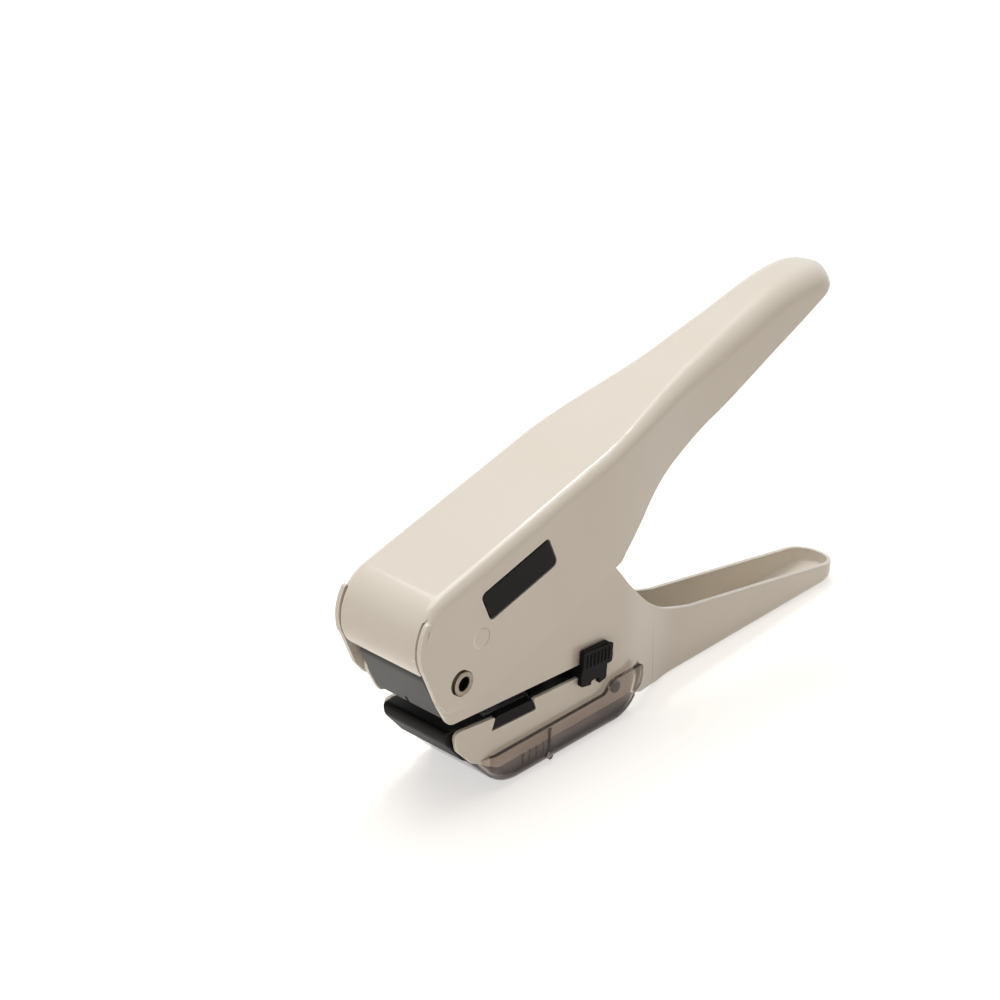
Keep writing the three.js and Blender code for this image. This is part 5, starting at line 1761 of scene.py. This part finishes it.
@dataclass
class DepthSlider:
    """The black depth stop: a web through the throat, with a ribbed grip outside each cheek."""

    front: float = 22.7
    length: float = 10.8
    grip_thick: float = 1.2
    grip_drop: float = 6.2
    pad_proud: float = 0.5
    pad_rise: float = 4.2
    pad_drop: float = 1.2
    arch_half: float = 1.5
    arch_rise: float = 1.2
    rib: float = 0.3
    ribs: int = 7
    leaf_half: float = 3.6
    leaf_thick: float = 0.35
    leaf_pocket: float = 1.0
    leaf_bow: float = 0.4
    leaf_steps: int = 24
    sink: float = 0.4
    edge: float = 0.1

    @property
    def rear(self) -> float:
        """Rear end of the pads."""
        return self.front + self.length

    @property
    def middle(self) -> float:
        """Middle of the grips."""
        return self.front + self.length / 2

    def grip(self) -> list[Place]:
        """Outline of a grip's lower part: two legs with an arch between them."""
        left, right = self.middle - self.arch_half, self.middle + self.arch_half
        low, step, rear = -self.grip_drop, PLAN.sheet / 4, self.rear - PLAN.sheet
        arch, top = self.arch_rise + low, self.pad_rise
        return rounded([
            (self.front, top, 2 * step), (self.front, low + 2 * step, 3 * step), (left, low, step),
            (left, arch, 2 * step), (right, arch, 2 * step), (right, low - 2 * step, step),
            (rear, low, 3 * step), (rear, top, 2 * step),
        ])

    def pad(self) -> list[Place]:
        """Outline of a grip's raised pad."""
        step, low, high = PLAN.sheet / 2, -self.pad_drop, self.pad_rise
        front = self.front - step / 2
        return rounded([
            (front, high, step), (front, low, step),
            (self.rear, low - step, step), (self.rear, high - step, step),
        ])

    def leaf(self) -> Piece:
        """The bowed leaf that bears on the throat's roof."""
        base = -PLAN.rest - self.leaf_pocket + PLAN.slip
        rise = self.leaf_pocket - self.leaf_thick + self.leaf_bow - PLAN.slip
        bow = 2 * (2 * rise - self.leaf_bow)
        under = [(self.middle + self.leaf_half * (2 * t - 1), base + bow * t * (1 - t))
                 for t in spread(0, 1, self.leaf_steps)]
        over = [(u, w + self.leaf_thick) for u, w in under]
        half = self.leaf_half - PLAN.rest
        return Bench.plate("slider_leaf_bent", over + under[::-1], -half, half)

    def build(self) -> None:
        """Moulds the slider and its ribs, bends the leaf and dresses both."""
        inside = PLAN.cheek_half + PLAN.rest
        outside = inside + self.grip_thick
        face = outside + self.pad_proud
        reach = inside + self.grip_thick / 2
        low, high = PLAN.rest - PLAN.throat_gap, -PLAN.rest
        web = Bench.block("depth_slider_moulding", (self.front + self.edge, -reach, low),
                          (self.rear - PLAN.sheet - self.edge, reach, high))
        pitch = self.length / (self.ribs + 1)
        low, high = PLAN.sheet / 2 - self.pad_drop, self.pad_rise - PLAN.sheet
        rib = self.rib
        for side in (1, -1):
            grip = Bench.ease(Bench.plate("grip", self.grip(), *between(side, inside, outside)), self.edge)
            pad = Bench.plate("pad", self.pad(), *between(side, outside - self.sink, face))
            Bench.ease(pad, 2 * self.edge)
            bars = [(rib / 2, low), (rib, low + rib / 2), (rib, high - rib / 2), (rib / 2, high)]
            spots = [(self.front + pitch * (i + 1), side * face, 0) for i in range(self.ribs)]
            ribs = [Bench.turned("rib", bars, spot, True, sides=16) for spot in spots]
            Bench.join(web, grip, pad, *ribs)
        reach, half, middle = self.leaf_half + PLAN.rest, self.leaf_half, self.middle
        floor = -PLAN.rest - self.leaf_pocket
        Bench.cut(web, Bench.block("pocket", (middle - reach, -half, floor), (middle + reach, half, 0)))
        dress(Bench.clean(web), PLAN.throat, Body.SLIDER, Slot.BLACK, "depth_slider")
        dress(self.leaf(), PLAN.throat, Body.SLIDER, Slot.SPRING, "slider_leaf")


# Tray body


@dataclass
class ChipTray:
    """The clear smoky box under the jaw: a round nose, ribs and a bar each side, a heel about its pins."""

    wall: float = 1.1
    front: float = 6.1
    rim: float = 25.9
    nose_drop: float = 26.4
    floor_front: float = 15.8
    nose_round: float = 13.0
    nose_plan: float = 2.2
    nose_plan_reach: float = 3.4
    curl: float = 36.0
    ear_rise: float = 2.7
    ear_front: float = 4.4
    ear_lead: float = 1.9
    ear_round: float = 1.6
    ear_reach: float = 9.9
    ear_turn: float = -10.0
    ear_end: float = 6.0
    ear_blend: float = 10.0
    ear_steps: int = 12
    opening: float = 40.0
    rib: float = 0.25
    rib_pitch: float = 2.4
    ribs: int = 4
    rib_low: float = 4.4
    rib_high: float = 7.4
    bar: float = 0.5
    bar_x: float = 31.3
    bar_drop: float = 0.5
    foot: float = 0.9
    foot_high: float = 2.3
    foot_length: float = 1.6
    sink: float = 0.4
    edge: float = 0.12
    sides: int = 120

    def profile(self, inset: float) -> list[Place]:
        """The nose and the floor from the side, from the front to the hinge."""
        slant = (self.floor_front - self.front) / (PLAN.lift - self.nose_drop)
        inward = inset * math.hypot(1, slant)
        low = PLAN.table + inset
        start = (self.front + inward, -self.nose_drop)
        turn = (self.front + inward + (-low - self.nose_drop) * slant, low, self.nose_round)
        line = rounded([start, turn, (PLAN.hinge_x, low), (PLAN.hinge_x, 0)], step=3)
        return [spot for spot in line if spot[1] < 0]

    def core(self, inset: float) -> Piece:
        """The box without its openings, drawn in by an inset."""
        rings: list[Ring] = []
        tip = self.front + inset
        for x, z in self.profile(inset):
            half = PLAN.tray_half - inset - self.nose_plan * round_off(x, tip + self.nose_plan_reach, tip)
            rings.append(channel_ring(x, half, z, PLAN.tray_bend - inset, PLAN.overrun))
        box = Bench.loft("chip_tray_moulding", rings)
        radius, half, bend = PLAN.tray_heel - inset, PLAN.tray_half - inset, PLAN.tray_bend - inset
        edge = [(radius - bend + up, half - bend + out) for out, up in quarter(bend)]
        rim = edge + [(r, -y) for r, y in reversed(edge)]
        drum = Bench.turned("drum", rim, (PLAN.hinge_x, 0, -PLAN.hinge_drop), False, self.sides)
        return Bench.join(box, drum)

    def outline(self) -> list[Place]:
        """What the box keeps, from the side."""
        top, rear = self.ear_rise - PLAN.hinge_drop, PLAN.hinge_x + PLAN.tray_heel + PLAN.overrun
        under, ahead = PLAN.table - PLAN.overrun, self.front - PLAN.overrun
        return rounded([
            (ahead, -self.rim), (ahead, under), (rear, under), (rear, top),
            (PLAN.hinge_x - self.ear_lead, top, self.ear_round),
            (PLAN.hinge_x - self.ear_front, -self.rim, self.ear_round),
        ])

    def ear(self, side: int) -> Piece:
        """The flat ear about a hinge pin."""
        x, z, top = PLAN.hinge_x, -PLAN.hinge_drop, self.ear_rise - PLAN.hinge_drop
        flat, start = PLAN.tray_heel - PLAN.tray_bend, -self.curl - self.ear_blend
        back: list[Place] = []
        for angle in spread(start, self.ear_end, self.ear_steps):
            radius = lerp(flat, self.ear_reach, eased(angle, start, self.ear_turn))
            back += arc(x, z, radius, angle, angle)[:1]
        outline = rounded([
            (x - self.ear_front / 2, z), *back,
            (x + self.ear_reach, top, self.ear_round), (x - self.ear_lead / 2, top),
        ])
        half = PLAN.tray_half
        return Bench.marked(Bench.plate("ear", outline, *between(side, half - self.wall, half)), 0.5)

    def hollow(self) -> list[Place]:
        """What the inside keeps, from the side."""
        rear = PLAN.hinge_x + PLAN.tray_heel + PLAN.overrun
        above = self.ear_rise - PLAN.hinge_drop + PLAN.overrun
        under, ahead = PLAN.table - PLAN.overrun, self.front - PLAN.overrun
        return [(ahead, above), (ahead, under), (rear, under), (rear, above)]

    def trim(self, side: int) -> list[Piece]:
        """The ribs, the bar and its foot on one side."""
        x, y, low = self.bar_x, side * PLAN.tray_half, PLAN.table + self.foot_high
        foot = between(side, PLAN.tray_half - self.foot_length, PLAN.tray_half + self.bar)
        made = [Bench.post("bar", x, y, self.bar, (low, -self.rim - self.bar_drop), sides=20),
                Bench.bar("foot", x, low, self.foot, foot, sides=32)]
        span = (PLAN.table + self.rib_low, PLAN.table + self.rib_high)
        for i in range(self.ribs):
            made.append(Bench.post("rib", x - self.rib_pitch * (i + 1), y, self.rib, span, sides=12))
        return [Bench.marked(tool) for tool in made]

    def build(self) -> Piece:
        """Moulds the tray, opens its top and rear, and dresses it."""
        wide = PLAN.tray_half + PLAN.overrun
        outline = Bench.marked(Bench.plate("outline", self.outline(), -wide, wide))
        tray = Bench.common(Bench.marked(self.core(0), 0), outline)
        inside = Bench.common(self.core(self.wall), Bench.plate("hollow", self.hollow(), -wide, wide))
        Bench.cut(tray, inside)
        hinge = (PLAN.hinge_x, -PLAN.hinge_drop)
        behind, inner = 180 - self.opening, PLAN.tray_heel - PLAN.tray_bend - self.sink
        outer = PLAN.tray_heel + PLAN.overrun
        gap = arc(*hinge, inner, -self.curl, behind) + arc(*hinge, outer, behind, -self.curl)
        deep = PLAN.tray_half - PLAN.hinge_skin
        Bench.cut(tray, Bench.plate("gap", gap, -wide, wide))
        Bench.join(tray, *both(self.ear))
        Bench.cut(tray, Bench.bore(*hinge, PLAN.hinge_pin, deep))
        Bench.ease(Bench.clean(tray), self.edge)
        Bench.join(tray, *self.trim(1), *self.trim(-1))
        return dress(tray, Matrix(), Body.TRAY, Slot.SMOKE, "chip_tray")


# Studio


@dataclass(frozen=True)
class Lamp:
    """A square soft box that looks at the punch; its place and size are in metres."""

    name: str
    spot: Spot
    size: float
    power: float
    tone: Tone

    def build(self) -> None:
        """Hangs the lamp up."""
        data = bpy.data.lights.new(self.name, "AREA")
        data.energy, data.size, data.color = self.power, self.size, self.tone
        lamp = bpy.data.objects.new(self.name, data)
        lamp.location = self.spot
        lamp.rotation_euler = (-Vector(self.spot)).to_track_quat("-Z", "Y").to_euler()
        bpy.context.scene.collection.objects.link(lamp)


@dataclass(frozen=True)
class Studio:
    """The camera of the photograph, a pale floor and soft lamps."""

    lens: float = 105.0
    sensor: float = 36.0
    picture: float = 1000.0
    azimuth: float = 47.3
    elevation: float = 27.6
    roll: float = 0.9
    anchor: Spot = (0.0, -14.0, 0.0)
    pixel: Place = (464.0, 684.0)
    depth: float = 680.0
    floor_half: float = 3.0
    ambient: float = 0.42
    zenith_share: float = 0.1
    air: Tone = (1.0, 0.88, 0.74)
    floor_tone: Tone = (0.8, 0.765, 0.72)
    floor_glow: float = 0.58
    floor_roughness: float = 0.9
    clip: Place = (0.05, 20.0)
    lamps: tuple[Lamp, ...] = (
        Lamp("key", (-0.1, 0.2, 1.1), 0.9, 7.8, (1, 1, 1)),
        Lamp("fill", (-0.8, -0.5, 0.32), 0.8, 1.0, (1, 0.93, 0.84)),
        Lamp("spark", (0.3, 0.34, 0.95), 0.1, 1.4, (1, 0.99, 0.97)),
    )

    def camera(self) -> None:
        """Sets up the camera where the photograph was taken."""
        a, e, r = (math.radians(v) for v in (self.azimuth, self.elevation, self.roll))
        ahead = Vector((math.sin(a) * math.cos(e), math.cos(a) * math.cos(e), -math.sin(e)))
        right = Vector((math.cos(a), -math.sin(a), 0))
        down = ahead.cross(right)
        right, down = right * math.cos(r) - down * math.sin(r), right * math.sin(r) + down * math.cos(r)
        focal = self.lens / self.sensor * self.picture
        u, v = ((p - self.picture / 2) / focal for p in self.pixel)
        spot = Vector(self.anchor) - (right * u + down * v + ahead) * self.depth
        data = bpy.data.cameras.new("camera")
        data.lens, data.sensor_width = self.lens, self.sensor
        data.clip_start, data.clip_end = self.clip
        camera = bpy.data.objects.new("camera", data)
        bpy.context.scene.collection.objects.link(camera)
        turn = Matrix((right, -down, -ahead)).transposed().to_4x4()
        camera.matrix_world = Matrix.Translation(PLAN.row @ spot) @ turn
        bpy.context.scene.camera = camera

    def floor(self) -> None:
        """A pale floor that shows as white and keeps the shadow."""
        bpy.ops.object.select_all(action="DESELECT")
        bpy.ops.mesh.primitive_plane_add(size=2 * self.floor_half, location=(0, 0, 0))
        plane = bpy.context.object
        plane.name = "floor"
        s = Shading(bpy.data.materials.new("floor"))
        glow = s.blend(s.seen(), (0, 0, 0), (1, 1, 1))
        plane.data.materials.append(
            s.surface(Base_Color=self.floor_tone, Roughness=self.floor_roughness, Emission_Color=glow,
                      Emission_Strength=self.floor_glow)
        )

    def world(self) -> None:
        """A pale surround, darker overhead, that shows as white."""
        world = bpy.data.worlds.new("surround")
        bpy.context.scene.world = world
        s = Shading(world, "World")
        fade = (s.height("Generated") * (self.zenith_share - 1) + 1.0) * self.ambient
        air = s.add("Background", Color=self.air, Strength=fade)
        white = s.add("Background", Color=(1.0, 1.0, 1.0), Strength=1.0)
        s.end(s.add("MixShader", Fac=s.seen(), Shader=air, Shader_001=white))

    def build(self) -> None:
        """Sets up the whole studio."""
        self.camera()
        self.floor()
        self.world()
        for lamp in self.lamps:
            lamp.build()
        bpy.context.scene.view_settings.view_transform = "Standard"


def main() -> None:
    """Builds the studio and every piece, in order."""
    logging.basicConfig(level=logging.INFO, format="%(name)s: %(message)s")
    Studio().build()
    cheeks, lever = FrameShell(), LeverShell()
    cheeks.build()
    HeadBlock().build()
    DieBlock().build(cheeks)
    for unit in (CutterPlates(), FulcrumRivet(), Pins(), ReturnSprings(), lever):
        unit.build()
    PressureBlock().build(lever)
    for unit in (WearPlate(), PunchUnit(), DepthSlider(), ChipTray()):
        unit.build()


if __name__ == "__main__":
    main()
